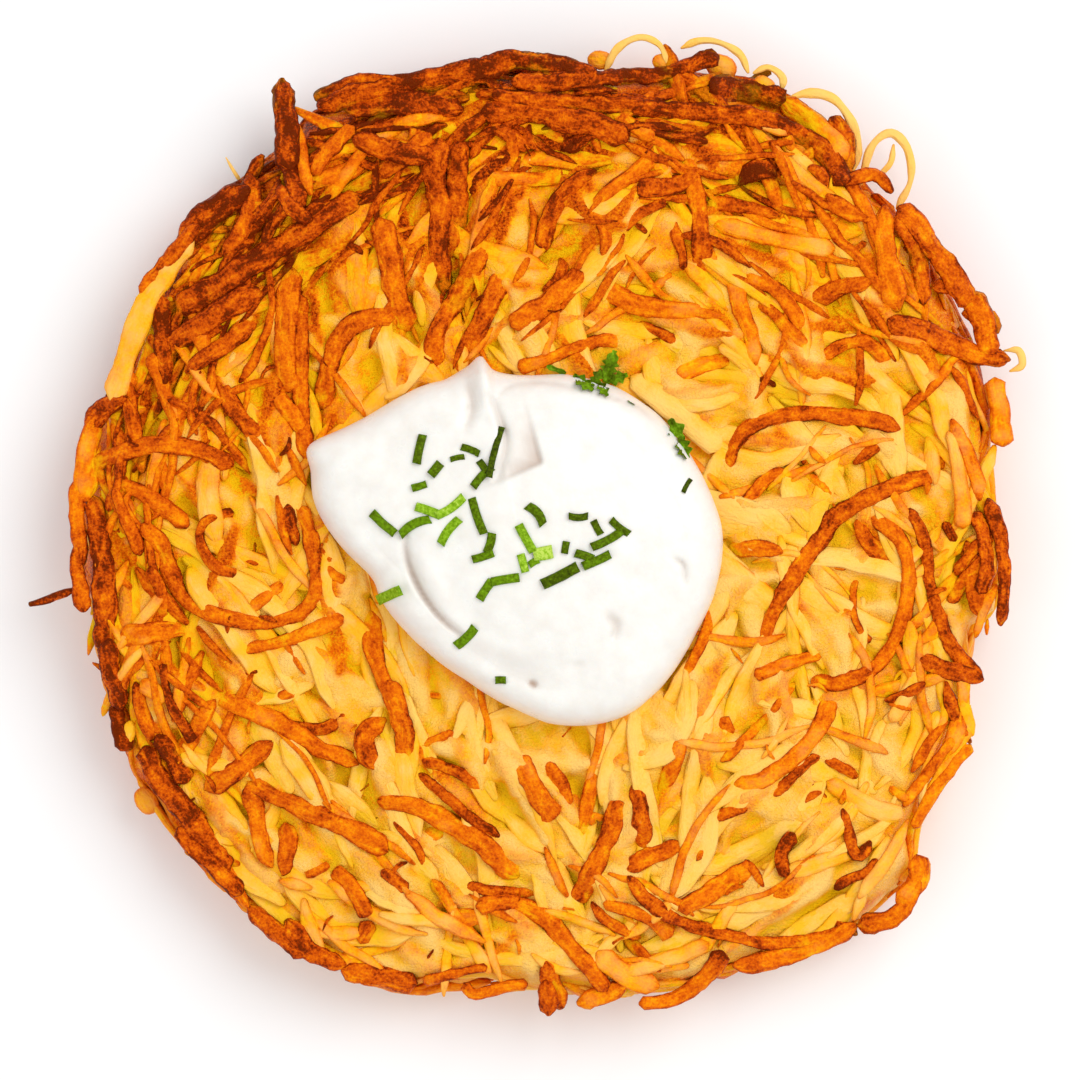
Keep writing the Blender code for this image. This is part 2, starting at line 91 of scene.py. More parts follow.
# The prominent shreds, in the order in which they lie on one another: x and y of the middle,
# bearing in degrees, length, bow of the middle to the left, width, and how brown, from 0 to 1.
SHREDS = (
    # upper left
    (-41, 58, -75, 11, 0, 3.7, 0.9),
    (-53, 31, -139, 15, 0.1, 3.7, 0.8),
    (-49, 52, -108, 15, 1.8, 3.3, 0.8),
    (-40, 25, -87, 28, -0.5, 3.7, 0.7),
    (-63, 32, -84, 16, 0.2, 3.3, 0.9),
    (-68, 18, -77, 9, 0, 2.7, 0.75),
    (-35, 63, 50, 11, 0.7, 3, 0.7),
    (-23, 62, 38, 13, -0.7, 3.3, 0.8),
    (-24, 63, -8, 15, -1.3, 4, 0.85),
    (-42, 33, -93, 21, -0.2, 4, 0.65),
    (-55, 35, -148, 20, 0.1, 4.3, 0.85),
    (-45, 46, -148, 37, 0.1, 4.7, 0.9),
    (-55, 53, -139, 16, -0.9, 5, 0.95),
    (-9, 36, -114, 15, 0.6, 4, 0.7),
    (-14, 55, -95, 20, 0.5, 4, 0.85),
    (-17, 52, -88, 26, -0.4, 4.3, 0.85),
    (-23, 71, 2, 20, 1.1, 4.3, 0.9),
    (-20, 75, 12, 35, 0.6, 4.3, 0.95),
    # top and upper right
    (-2, 65, -75, 5, -1.3, 2.3, 0.85),
    (-5, 63, -93, 6, 0.8, 2.3, 0.7),
    (-2, 58, 2, 17, -0.7, 2.8, 0.6),
    (3, 42, -119, 7, 1.5, 2.3, 0.7),
    (20, 33, -22, 9, 0.5, 2, 0.75),
    (27, 27, -158, 10, -0.1, 3.2, 0.55),
    (23, 48, -74, 9, 0.5, 2, 0.8),
    (11, 49, -79, 6, 1.2, 2.3, 0.7),
    (36, 60, 10, 6, 2.2, 4, 0.95),
    (34, 54, -10, 12, 1, 2.5, 0.7),
    (39, 49, -11, 21, 0.4, 3, 0.45),
    (47, 59, -45, 5, 1.2, 2.7, 0.7),
    (51, 53, -28, 8, -1, 3, 0.7),
    (55, 59, -10, 8, 2.4, 2.5, 0.8),
    (53, 47, 39, 3, 0.1, 2, 0.7),
    (40, 39, -45, 13, 1.4, 3.3, 0.6),
    (50, 40, 21, 11, 0, 3.3, 0.7),
    (68, 41, 13, 6, 0.3, 3.3, 0.7),
    (74, 36, -31, 7, 1.4, 3.7, 0.7),
    (38, 25, -29, 3, 0.4, 2.3, 1),
    (17, 53, 36, 9, 0.5, 2, 0.8),
    (21, 57, 14, 10, -1.4, 3.3, 0.85),
    (1, 38, -142, 15, 0, 3.7, 0.65),
    (34, 35, -75, 16, 0.3, 3.3, 0.55),
    (57.8, 45, -80, 18, -0.9, 4.3, 0.6),
    (63, 46, -73, 16, 1.7, 3.3, 0.7),
    (68, 31, -16, 22, -0.9, 4, 0.75),
    (51, 65, -81, 10, 1.9, 3.7, 0.85),
    (3, 69, -12, 25, 1.8, 4.7, 0.85),
    (35, 74, -3, 13, 1.7, 4.7, 1),
    # left
    (-42, 20, -56, 11, 0.2, 3.3, 0.65),
    (-50, 19, -57, 12, -0.2, 3.3, 0.75),
    (-63, -10, 106, 9, -0.8, 2.3, 0.7),
    (-81, -11, 21, 9, -0.2, 1.8, 0.95),
    (-73, 20, 39, 9, 1.2, 4.3, 0.8),
    (-35, -7, -43, 5, -1.1, 2, 0.65),
    (-66, -30, -78, 10, 0, 2.7, 0.7),
    (-41, -27, 0, 7, 1.3, 2, 0.7),
    (-37, -33, 6, 9, -2.1, 2.7, 0.75),
    (-49, -24, 18, 4, 0, 1.5, 0.9),
    (-27, -22, -74, 18, -1.4, 3.3, 0.65),
    (-68.5, 2, -68, 12, 0.5, 2.4, 0.8),
    (-72.3, -7, -84, 27, 1, 4.2, 0.87),
    # lower left and bottom
    (-70, -33, -70, 8, -0.4, 3, 0.9),
    (-71, -24, -80, 11, -0.4, 4, 0.9),
    (-61, -38, -60, 9, 0.2, 3.7, 0.9),
    (-47, -49, -77, 15, -1, 3.3, 0.6),
    (-42, -53, -95, 9, 0.7, 3.3, 0.6),
    (-37, -56, 27, 4, 0.9, 2.3, 0.6),
    (-38, -70, -40, 13, -2, 4, 0.8),
    (-44, -67, -40, 13, -0.6, 4, 0.8),
    (-27, -75, -11, 13, -0.1, 4.3, 0.75),
    (-29, -35, -103, 10, -2.8, 3.7, 0.75),
    (-23, -32, -78, 14, 0.9, 4, 0.65),
    (-14, -46, -36, 18, 0, 2, 0.75),
    (-21, -53, -57, 11, 0.2, 1.7, 0.75),
    (-18, -51, -130, 6, 0, 3, 0.6),
    (-7, -60, -4, 14, -0.3, 2, 0.75),
    (3, -42, -62, 9, 0.8, 2.5, 0.65),
    (-1, -43, -62, 12, -0.4, 4.2, 0.6),
    (8, -46, -104, 12, 0.3, 2.7, 0.65),
    (22, -39, -110, 12, 0.3, 3, 0.6),
    (12, -66, -39, 11, -1.4, 2, 0.75),
    (-14, -74, 14, 11, 0.2, 1.8, 0.7),
    (2, -76, -72, 9, -0.3, 4.3, 0.7),
    (14, -74, -33, 12, -1, 4, 0.45),
    (32, -47, 27, 7, 0.1, 2.3, 0.75),
    (46, -44, -42, 4, -0.1, 2.3, 0.85),
    (40, -54, -100, 8, -1.5, 2.5, 0.9),
    (50, -39, -29, 7, 0.7, 2.2, 0.75),
    (54, -45, -29, 14, -0.1, 3.7, 0.4),
    (51, -66, -5, 4, 1.2, 4, 0.85),
    (60, -63, 42, 14, -2.8, 3.7, 0.65),
    # right
    (55, -2, -45, 8, -1.2, 3.3, 0.7),
    (61, -27, 21, 7, -0.6, 2, 0.8),
    (71, 12, -70, 15, 0.4, 2.7, 0.55),
    (52, -14, -74, 10, -1.8, 1.5, 0.7),
    (44, -15, -35, 4, -0.1, 2.7, 0.8),
    (36, -3, -7, 9, 0.4, 3.2, 0.6),
    (55, 13, 33, 7, -0.3, 2.3, 0.75),
    (27, -19, -115, 14, 1, 2, 0.65),
    (22.5, 19.5, -38, 19, 0, 4.5, 0.1),
    (-66.3, 36, -116, 30, -1.8, 4.2, 0.3),
    (-62, 45, -127, 16, -0.7, 3.2, 0.7),
    (-75.5, 12, -98, 15, -0.6, 4.2, 0.6),
    (-77, 1, -88, 15, -0.5, 3.0, 0.7),
    (-77, -8, -84, 12, -0.3, 2.8, 0.77),
    (66.5, 46, -53, 21, 1.2, 4.2, 0.7),
    (74, 34.5, -74, 12, 0.6, 4.6, 0.66),
    (77, 20, -82, 12, 0.4, 4.0, 0.5),
    (43, -70.5, 19, 22, -0.8, 3.6, 0.6),
    (1.5, -78, -84, 6, 0, 3.2, 0.75),
    (10, -77.6, 24, 9, 0, 3.2, 0.6),
    (2, 77.6, -9, 17, 0.4, 3.4, 0.92),
    (25, 77.5, 24, 11, 0.2, 2.8, 1),
    (46.5, 68, -40, 15, 1.6, 4.4, 0.5),
    (62.5, -58.5, 68, 9, -1.5, 4.0, 0.6),
    # small ones between the curved
    (44.5, 12.5, 60, 3.5, 0, 2.6, 0.9),
    (47.8, 9.1, -28, 3.4, 0, 1.2, 0.7),
    (49.8, -6.2, -5, 5, 0, 1.8, 0.75),
    (68, -0.8, -60, 3.6, 0, 2.2, 0.75),
    (-24.6, -58, -38, 5.5, 0, 2.2, 0.8),
    (-5, -65.3, 20, 2, 0, 1.2, 1),
    (-27.7, -47.8, 20, 1.6, 0, 0.9, 0.95),
    (-16.6, -27.6, -10, 4, 0, 2, 0.65),
    (-17.4, -34.6, 15, 6, 0, 1.6, 0.65),
    (-29, -67.6, 60, 4, 0, 3, 0.6),
    (34.2, -29.5, 0, 2.4, 0, 1.4, 0.88),
    (31, -33.2, -50, 3.6, 0, 2.8, 0.68),
    (40.6, -32.7, 15, 4, 0, 2.6, 0.64),
    (33, -42.2, 10, 3.4, 0, 1.6, 0.8),
    (26.8, -52.6, 60, 4, 0, 2.4, 0.62),
    # the spread ends at the lower right rim
    (70.6, -27, -85, 9, 0.4, 2.6, 0.45),
    (71, -31, -80, 7, -0.4, 2.4, 0.3),
    (69, -37, -126, 10, 0.3, 2.2, 0.4),
    (65, -44, -118, 12, 0.4, 2.2, 0.35),
    (68.8, -33.8, -112, 9, 0, 3.6, 0.5),
    (72.3, -8, -75, 14, 0, 3.8, 0.7),
)

# The prominent shreds that turn along their way: width, how brown, and the points they run through.
CURVED = (
    # upper left
    (3.6, 0.66, (-24, 35), (-28, 35.2), (-31.4, 34), (-33.8, 30.6), (-35.4, 26), (-36.2, 20)),
    (4.4, 0.72, (-26.6, 52), (-25.2, 46.7), (-24.2, 41), (-22.6, 35.4), (-21.6, 33)),
    (3.6, 0.7, (-8.6, 48), (-11, 43.4), (-14, 38), (-17.4, 32.2), (-17.8, 27)),
    (2.4, 0.5, (-40.5, 67.5), (-39.3, 60), (-38, 55.8)),
    (4.6, 0.95, (-43.3, 75.4), (-42.6, 70), (-42, 64), (-41.5, 60)),
    (3, 0.85, (-43.4, 57.5), (-41.8, 54.2), (-38, 51.3)),
    (2.8, 0.92, (-37.8, 72.4), (-33.4, 73.6), (-28.6, 75), (-22, 74.6)),
    # top and upper right
    (3.6, 0.62, (10, 40.4), (14, 38.4), (18.4, 37), (22.6, 36.4), (27.8, 35.8)),
    (2.6, 0.66, (-3.6, 26.8), (1, 28.4), (6, 30.4), (10.4, 31.8), (14.6, 31)),
    (2.6, 0.6, (34.8, 39.6), (38.6, 36.4), (41.8, 32.8), (45.4, 29.6)),
    (2.6, 0.68, (46.2, 27.8), (50, 30.4), (53.6, 31.2), (56.6, 29.4), (58.8, 25.4)),
    (3.4, 0.72, (24.6, 62.3), (25.8, 57.3), (26.7, 52.3), (27.1, 47.3), (26.7, 42.3)),
    (3.8, 0.78, (9.6, 60), (6, 57.6), (2.8, 54.2), (1, 50), (0.4, 46)),
    (2.6, 0.66, (8.4, 53.6), (12, 56.6), (15.6, 59.2), (18.2, 61.8), (19.6, 63.6)),
    (3.6, 0.88, (-8, 72.6), (0, 71.6), (8, 71), (24, 69.8), (31, 69), (37, 68.4), (42, 66.6), (46.4, 63.8),
     (49.4, 60), (50.4, 57.2)),
    (3, 0.95, (-5, 74.6), (3, 74.6), (11, 75.2), (18.5, 75.8), (23.5, 77), (28.4, 79.6)),
    # left
    (2.8, 0.72, (-70.6, 8), (-66, 6), (-61.5, 3), (-58.4, 0.6)),
    (3.3, 0.72, (-75.6, 10), (-72.2, 11.9), (-68, 13.5), (-63.8, 14.3), (-59.3, 13.8), (-55.2, 12.5),
     (-51, 10.6)),
    (2, 0.8, (-51, 3), (-54.8, 2), (-56.6, -0.6), (-56, -3.8), (-53.6, -6.4), (-50.4, -7.4)),
    (2.6, 0.8, (-50.6, -3.6), (-47.4, -4.9), (-44.4, -5.2)),
    (2.2, 0.8, (-48, -1), (-47.4, -4)),
    (2.2, 0.62, (-42.6, -8.6), (-46, -11.4), (-49.4, -14)),
    (2.4, 0.92, (-42.2, 4.6), (-41.5, 1), (-40.4, -2.8)),
    (3.6, 0.66, (-70, -18), (-65.5, -17.4), (-60.5, -16.6), (-56.5, -16.6)),
    (3.1, 0.68, (-66.2, 1), (-63.4, -2.2), (-62.2, -5.6), (-61, -9), (-58.6, -12), (-55, -14), (-51, -15),
     (-47, -15.4), (-43, -14.8), (-39.6, -13.3), (-37.7, -10.8), (-37.2, -7.5), (-37.7, -3.6), (-38.6, 1),
     (-40, 4)),
    (2.6, 0.62, (-51.2, -20.4), (-46.4, -19.5), (-41.8, -18.3), (-36.6, -16.4), (-32.6, -14.4)),
    (1.8, 0.88, (-62.8, -22), (-62, -27.4), (-60.3, -31.4), (-57.6, -35)),
    (4, 0.68, (-56, -43.8), (-51.6, -40.8), (-47.6, -37.6), (-44.4, -35.2)),
    (3.4, 0.6, (-54.4, -27.6), (-50.4, -29.4), (-46, -31.2), (-41, -33.6), (-36, -36.4), (-30.2, -39.2)),
    # lower left
    (4, 0.88, (-66, -36), (-62.6, -42.6), (-58.6, -48), (-54.8, -52.6), (-51.6, -57)),
    (3.4, 0.75, (-60.6, -49.4), (-57, -53.6), (-53, -57.6), (-49.6, -61)),
    (3.6, 0.66, (-48.8, -41.6), (-44.6, -44), (-40, -46.2), (-35, -48.4), (-30, -50.8), (-25.4, -53.6)),
    (3.2, 0.66, (-34.6, -56.6), (-32, -58.6), (-30.2, -61.6), (-28.8, -64.6)),
    (2.4, 0.68, (-19.8, -38.4), (-15.8, -39.6), (-12, -41.4), (-9.4, -44.6)),
    (3.8, 0.6, (-27, -44.8), (-20.4, -46.2), (-14.2, -49.4), (-8.6, -53), (-3.6, -58)),
    (2.2, 0.6, (-12.8, -75.4), (-11, -77.4), (-6, -76.4), (-2, -75.8)),
    (3.4, 0.68, (-10.6, -62.6), (-5.6, -61.9), (-0.8, -63.4), (2.4, -66.2), (5.4, -69.6), (8.4, -73),
     (11.2, -77)),
    # lower right
    (3.4, 0.76, (15.6, -42.2), (16.4, -45.6), (16.8, -49.6), (17.6, -53)),
    (3.8, 0.68, (13, -44.6), (11.8, -49.6), (10.2, -54), (8, -58.4), (6, -61.8)),
    (3, 0.62, (10.4, -61.8), (15, -63.2), (19, -65), (22, -67.6)),
    (3.6, 0.6, (22.7, -63.2), (27.7, -60.7), (32.3, -57.8), (36, -56)),
    (1.6, 0.72, (34, -55), (35.8, -57), (37.2, -59.4)),
    (3, 0.7, (14.4, -56.4), (18.6, -54.4), (22.4, -52.8), (24.4, -53.4)),
    (2.6, 0.72, (14.4, -57.4), (17, -60.8), (20.4, -63.6), (24.6, -65.4), (30, -67.2), (36, -68.6),
     (42, -68.9), (47, -68.2), (51.4, -66.6)),
    (3.2, 0.66, (16.4, -79.2), (21.6, -78.4), (25.8, -76), (29, -72.8), (30.6, -70)),
    (2, 0.88, (50.4, -46.4), (51.4, -50), (52, -53), (53.4, -54), (55, -51.6)),
    (1.8, 0.88, (48.9, -59.8), (51.4, -58.2), (54.3, -57), (56, -54.8)),
    (1.8, 0.6, (42.4, -25.4), (38.6, -30.2), (34.4, -34.6), (30.2, -38.6)),
    (2.2, 0.88, (46.9, -36.8), (43.8, -39.6), (41, -42), (38.4, -44.4)),
    (3.2, 0.58, (48.4, -27.4), (47, -32), (43.8, -36.2), (40, -39.6), (36, -41.8), (32.2, -42.4)),
    # right
    (2.6, 0.7, (31.6, 1.4), (35.4, 5.4), (38.4, 8.8), (40.6, 10)),
    (3, 0.7, (31, 9.5), (32.8, 14.8), (36, 17.6), (40.5, 19.2), (46, 19.3), (52, 18.4), (57, 17.8),
     (60.5, 16.6)),
    (1.9, 0.7, (43.4, 9.5), (45.9, 8.3), (48, 6.2), (48.2, 4)),
    (2.3, 0.6, (35.7, -24), (40, -22.6), (44.5, -21.4), (47, -21)),
    (2.9, 0.62, (55, 2.2), (58.3, 0.4), (60.6, -3.2), (61.3, -8), (60.6, -13.6), (58.9, -18.3),
     (56.2, -22.2), (52.8, -24.6), (48.8, -25.5), (45, -24.8)),
    (3.2, 0.72, (37.2, -19.5), (38.5, -14.7), (41, -9.6), (43.9, -5), (46.8, -1.2), (49, 2), (52.4, 4.2),
     (56.5, 6.4), (60.7, 7.9), (66.5, 9.4)),
    (2.4, 0.7, (73.6, -1.5), (71, -5), (69.4, -7.6)),
    (2.6, 0.72, (75, -3.5), (72, -7), (69.8, -10), (68.2, -12.6)),
    (1.8, 0.5, (76, -9), (74, -13), (72.5, -18)),
    (3, 0.74, (63, -21.6), (67, -23), (71, -23.8), (74, -25)),
    (2.6, 0.75, (61.2, 3.8), (63, 0), (64.4, -4.8), (65.2, -9.8), (66.4, -14.8), (68.2, -19), (71, -22.6),
     (73.8, -24.5)),
    (3, 0.77, (72.3, 3), (74, -1), (74.4, -6), (73, -10.5)),
    (2.6, 0.82, (74.6, 5.5), (76.3, 1), (77, -5), (77.2, -11), (76.6, -16)),
    (1.8, 0.6, (68, -31.8), (65.1, -35), (61.8, -40.5)),
    (2.2, 0.62, (69.7, -33.8), (66.8, -37.2), (63.4, -41.8), (60.5, -46.3)),
    (2.4, 0.55, (71.8, -35.9), (68.8, -39.3), (65.5, -43.8), (62.2, -49.7)),
    (2, 0.9, (72, -35.6), (70, -37.4), (68.2, -38.6)),
    (2.2, 0.8, (67.4, -25), (68.4, -29), (69.9, -33), (71.9, -35.4)),
)

rng = np.random.default_rng(SEED)


# ---------------------------------------------------------------- numbers


def noise(points, size, seed=0):
    """Smooth noise from -1 to 1 at rows of points, in lumps of that size."""
    points = np.asarray(points, float)
    if points.shape[-1] == 2:
        points = np.concatenate([points, np.zeros(points.shape[:-1] + (1,))], -1)
    at = points / size + 31.7 * (seed + 1)
    cell = np.floor(at).astype(np.int64)
    part = at - cell
    part = part * part * (3 - 2 * part)
    fades = [(1 - part[..., k], part[..., k]) for k in range(3)]
    x, y, z = [[(cell[..., k] + corner) * factor for corner in (0, 1)] for k, factor in enumerate(HASHES)]
    total = np.zeros(at.shape[:-1])
    for i, j, k in np.ndindex(2, 2, 2):
        mixed = x[i] ^ y[j] ^ z[k] ^ (seed * 40503 + 977)
        mixed = (((mixed ^ (mixed >> 13)) & 0xFFFFFFFF) * 1274126177) & 0x7FFFFFFF
        value = ((mixed ^ (mixed >> 15)) & 0xFFFF) / 32767.5 - 1
        total += value * fades[0][i] * fades[1][j] * fades[2][k]
    return total


def line_noise(along, lane, size, seed):
    """Smooth noise along a line. Each lane has its own."""
    return noise(np.stack([along, np.full_like(along, lane)], -1), size, seed)


def smooth_step(value, low, high):
    t = np.clip((value - low) / (high - low), 0, 1)
    return t * t * (3 - 2 * t)


def bell(distance, width):
    return np.exp(-((distance / width) ** 2))


def polar(radius, bearing):
    return radius * math.cos(bearing), radius * math.sin(bearing)


def unit(vectors):
    return vectors / np.linalg.norm(vectors, axis=-1, keepdims=True)


def travelled(path):
    """Distance along a path to each of its points."""
    return np.concatenate([[0], np.cumsum(np.linalg.norm(np.diff(path, axis=0), axis=1))])


def curve_through(points, count, closed=False):
    """Catmull-Rom curve through points."""
    points = np.asarray(points, float)
    if closed:
        control = np.concatenate([points[-1:], points, points[:2]])
    else:
        control = np.concatenate([2 * points[:1] - points[1:2], points, 2 * points[-1:] - points[-2:-1]])
    spans = len(control) - 3
    at = np.linspace(0, spans, count, endpoint=not closed)
    first = np.minimum(at.astype(int), spans - 1)
    t = (at - first)[:, None]
    a, b, c, d = (control[first + k] for k in range(4))
    return b + 0.5 * t * (c - a + t * (2 * a - 5 * b + 4 * c - d + t * (3 * (b - c) + d - a)))


def blur_line(values, spread):
    """Values along a line, each replaced by a mean of its neighbours, spread in samples."""
    reach = max(1, int(3 * spread))
    weights = np.exp(-0.5 * (np.arange(-reach, reach + 1) / spread) ** 2)
    padded = np.pad(values, reach, mode="edge")
    return np.convolve(padded, weights / weights.sum(), "valid")


def blur_grid(grid, spread):
    rows = np.apply_along_axis(blur_line, 0, grid, spread)
    return np.apply_along_axis(blur_line, 1, rows, spread)


def grid_line(cell):
    return np.arange(-HALF, HALF + cell / 2, cell)


def between(grid, cell, xy):
    """Values of a grid of cells at points between them."""
    at = np.clip((np.asarray(xy) + HALF) / cell, 0, len(grid) - 1.001)
    low = at.astype(int)
    part = at - low
    total = 0
    for a, b in np.ndindex(2, 2):
        weight = np.abs(1 - a - part[..., 0]) * np.abs(1 - b - part[..., 1])
        total = total + weight * grid[low[..., 0] + a, low[..., 1] + b]
    return total


# ---------------------------------------------------------------- meshes


def mesh_object(name, points, quads, tris=(), values=None, material=None):
    """An object of these points, in millimetres, with a smooth skin and an attribute for each of values."""
    points = np.asarray(points, float)
    quads = np.asarray(quads, np.int64).reshape(-1, 4)
    tris = np.asarray(tris, np.int64).reshape(-1, 3)
    mesh = bpy.data.meshes.new(name)
    mesh.vertices.add(len(points))
    mesh.vertices.foreach_set("co", (points * MM).astype(np.float32).ravel())
    loops = np.concatenate([quads.ravel(), tris.ravel()])
    mesh.loops.add(len(loops))
    mesh.loops.foreach_set("vertex_index", loops.astype(np.int32))
    sizes = np.concatenate([np.full(len(quads), 4), np.full(len(tris), 3)])
    mesh.polygons.add(len(sizes))
    starts = np.concatenate([[0], np.cumsum(sizes)[:-1]])
    mesh.polygons.foreach_set("loop_start", starts.astype(np.int32))
    mesh.polygons.foreach_set("use_smooth", np.ones(len(sizes), bool))
    for key, numbers in (values or {}).items():
        numbers = np.asarray(numbers, np.float32)
        kind = "FLOAT_VECTOR" if numbers.ndim == 2 else "FLOAT"
        layer = mesh.attributes.new(key, kind, "POINT")
        layer.data.foreach_set("vector" if numbers.ndim == 2 else "value", numbers.ravel())
    mesh.update(calc_edges=True)
    mesh.validate()
    made = bpy.data.objects.new(name, mesh)
    bpy.context.scene.collection.objects.link(made)
    if material:
        mesh.materials.append(material)
    return made


def tube_faces(rings, sides, first=0):
    """Quads of a tube of rings by sides points, and triangles to a point before and one after it."""
    ring, side = np.meshgrid(np.arange(rings - 1), np.arange(sides), indexing="ij")
    after = (side + 1) % sides
    base = first + ring * sides
    quads = np.stack([base + side, base + after, base + sides + after, base + sides + side], -1)
    k = np.arange(sides)
    start, end = first + rings * sides, first + rings * sides + 1
    last = first + (rings - 1) * sides
    low = np.stack([(k + 1) % sides + first, k + first, np.full(sides, start)], -1)
    high = np.stack([last + k, last + (k + 1) % sides, np.full(sides, end)], -1)
    return quads.reshape(-1, 4), np.concatenate([low, high])


def axes_along(spine, stops, roll):
    """Unit vectors ahead, to the side and up at each point of a spine, turned round it by roll."""
    ahead = unit(np.gradient(spine, stops, axis=0))
    side = unit(np.cross((0, 0, 1), ahead))
    up = np.cross(ahead, side)
    return ahead, side * math.cos(roll) + up * math.sin(roll), up * math.cos(roll) - side * math.sin(roll)


def squared(circle, boxy):
    """Sines or cosines of a round section, drawn out towards a square one as boxy falls below 1."""
    return np.sign(circle) * np.abs(circle) ** boxy


class Bundle:
    """Shreds that are collected into one piece."""

    def __init__(self):
        self.points, self.quads, self.tris, self.brown, self.grain = [], [], [], [], []
        self.count = 0

    def add(
        self, spine, width, thickness, brown, sides=10, roll=0.0, blunt=0.6, lowest=-math.inf, rough=1.0,
        boxy=0.75, edges=(0.15, 0.15), ridge=0.0, sharp=0.1
    ):
        """A shred along the spine. width, thickness and brown are single numbers or one for each point.

        Its ends are rounded over blunt half widths and narrow over a length of sharp. edges is how much
        browner its two edges are, partly crisper frying and partly painted shade that outlines the shred;
        rough and ridge how uneven its skin is."""
        length = travelled(spine)
        half, tall, crisp = (np.broadcast_to(v, len(spine)) for v in (width, thickness, brown))
        half, tall = half / 2, tall / 2
        reach = min(blunt * half.mean(), length[-1] / 2.2)
        tip = reach * np.array(TIP_RINGS)
        middle = np.linspace(reach, length[-1] - reach, max(2, len(spine) - len(tip)))
        stops = np.concatenate([tip, middle, length[-1] - tip[::-1]])
        spine = np.stack([np.interp(stops, length, spine[:, k]) for k in range(3)], -1)
        half, tall, crisp = (np.interp(stops, length, v) for v in (half, tall, crisp))
        ahead, side, up = axes_along(spine, stops, roll)
        from_end = np.minimum(stops, length[-1] - stops)
        taper = np.sqrt(1 - (1 - np.clip(from_end / reach, 0, 1)) ** 2) * 0.9 + 0.1
        taper *= 1 - 0.6 * (1 - smooth_step(from_end, 0, sharp))
        turn = 2 * np.pi * np.arange(sides) / sides
        ring = (
            spine[:, None]
            + side[:, None] * np.outer(half * taper, squared(np.cos(turn), boxy))[..., None]
            + up[:, None] * np.outer(tall * taper**0.6, squared(np.sin(turn), boxy))[..., None]
        )
        out = unit(ring - spine[:, None])
        crisp = crisp[:, None]
        shift = (0.10 + 0.3 * crisp**2) * noise(ring, 1.9, 3) + (0.05 + 0.3 * crisp**2) * noise(ring, 0.8, 4)
        row, column = np.meshgrid(stops / 4.5, turn / np.pi * half.mean(), indexing="ij")
        shift += ridge * noise(np.stack([row, column, np.full_like(row, self.count * 0.37)], -1), 0.75, 6)
        ring += out * (rough * shift * np.minimum(half, 1.6)[:, None] / 1.6)[..., None]
        tips = ring[[0, -1]].mean(1) + ahead[[0, -1]] * np.array([[-0.03], [0.03]])
        # Browner edges: partly crisper frying, partly painted shade that outlines the shred where its sides
        # turn down.
        edge = np.where(np.cos(turn) > 0, *edges) * np.abs(np.cos(turn)) ** 5
        end = 0.8 * max(edges) * (1 - np.clip(from_end / 1.5, 0, 1)[:, None])
        shade = crisp + np.maximum(edge, end) + 0.16 * crisp * noise(ring, 2.6, 5)
        girth = turn / np.pi * (half.mean() + tall.mean())
        grain = np.stack(np.broadcast_arrays(stops[:, None], girth, self.count % 997 * 3.7), -1)
        points = np.concatenate([ring.reshape(-1, 3), tips])
        points[:, 2] = np.maximum(points[:, 2], lowest)
        quads, tris = tube_faces(len(stops), sides, self.count)
        self.points.append(points)
        self.quads.append(quads)
        self.tris.append(tris)
        self.brown.append(np.concatenate([shade.ravel(), shade[[0, -1]].mean(1)]))
        self.grain.append(np.concatenate([grain.reshape(-1, 3), grain[[0, -1], 0]]))
        self.count += len(points)

    def make(self, name, material, relief=None):
        """One object of all the shreds. Without a relief, each point has the one that the heap gives it."""
        points = np.concatenate(self.points)
        values = {
            "brown": np.concatenate(self.brown),
            "relief": heap.relief(points) if relief is None else np.full(len(points), relief),
            "grain": np.concatenate(self.grain),
        }
        return mesh_object(
            name, points, np.concatenate(self.quads), np.concatenate(self.tris), values, material
        )


# ---------------------------------------------------------------- the heap


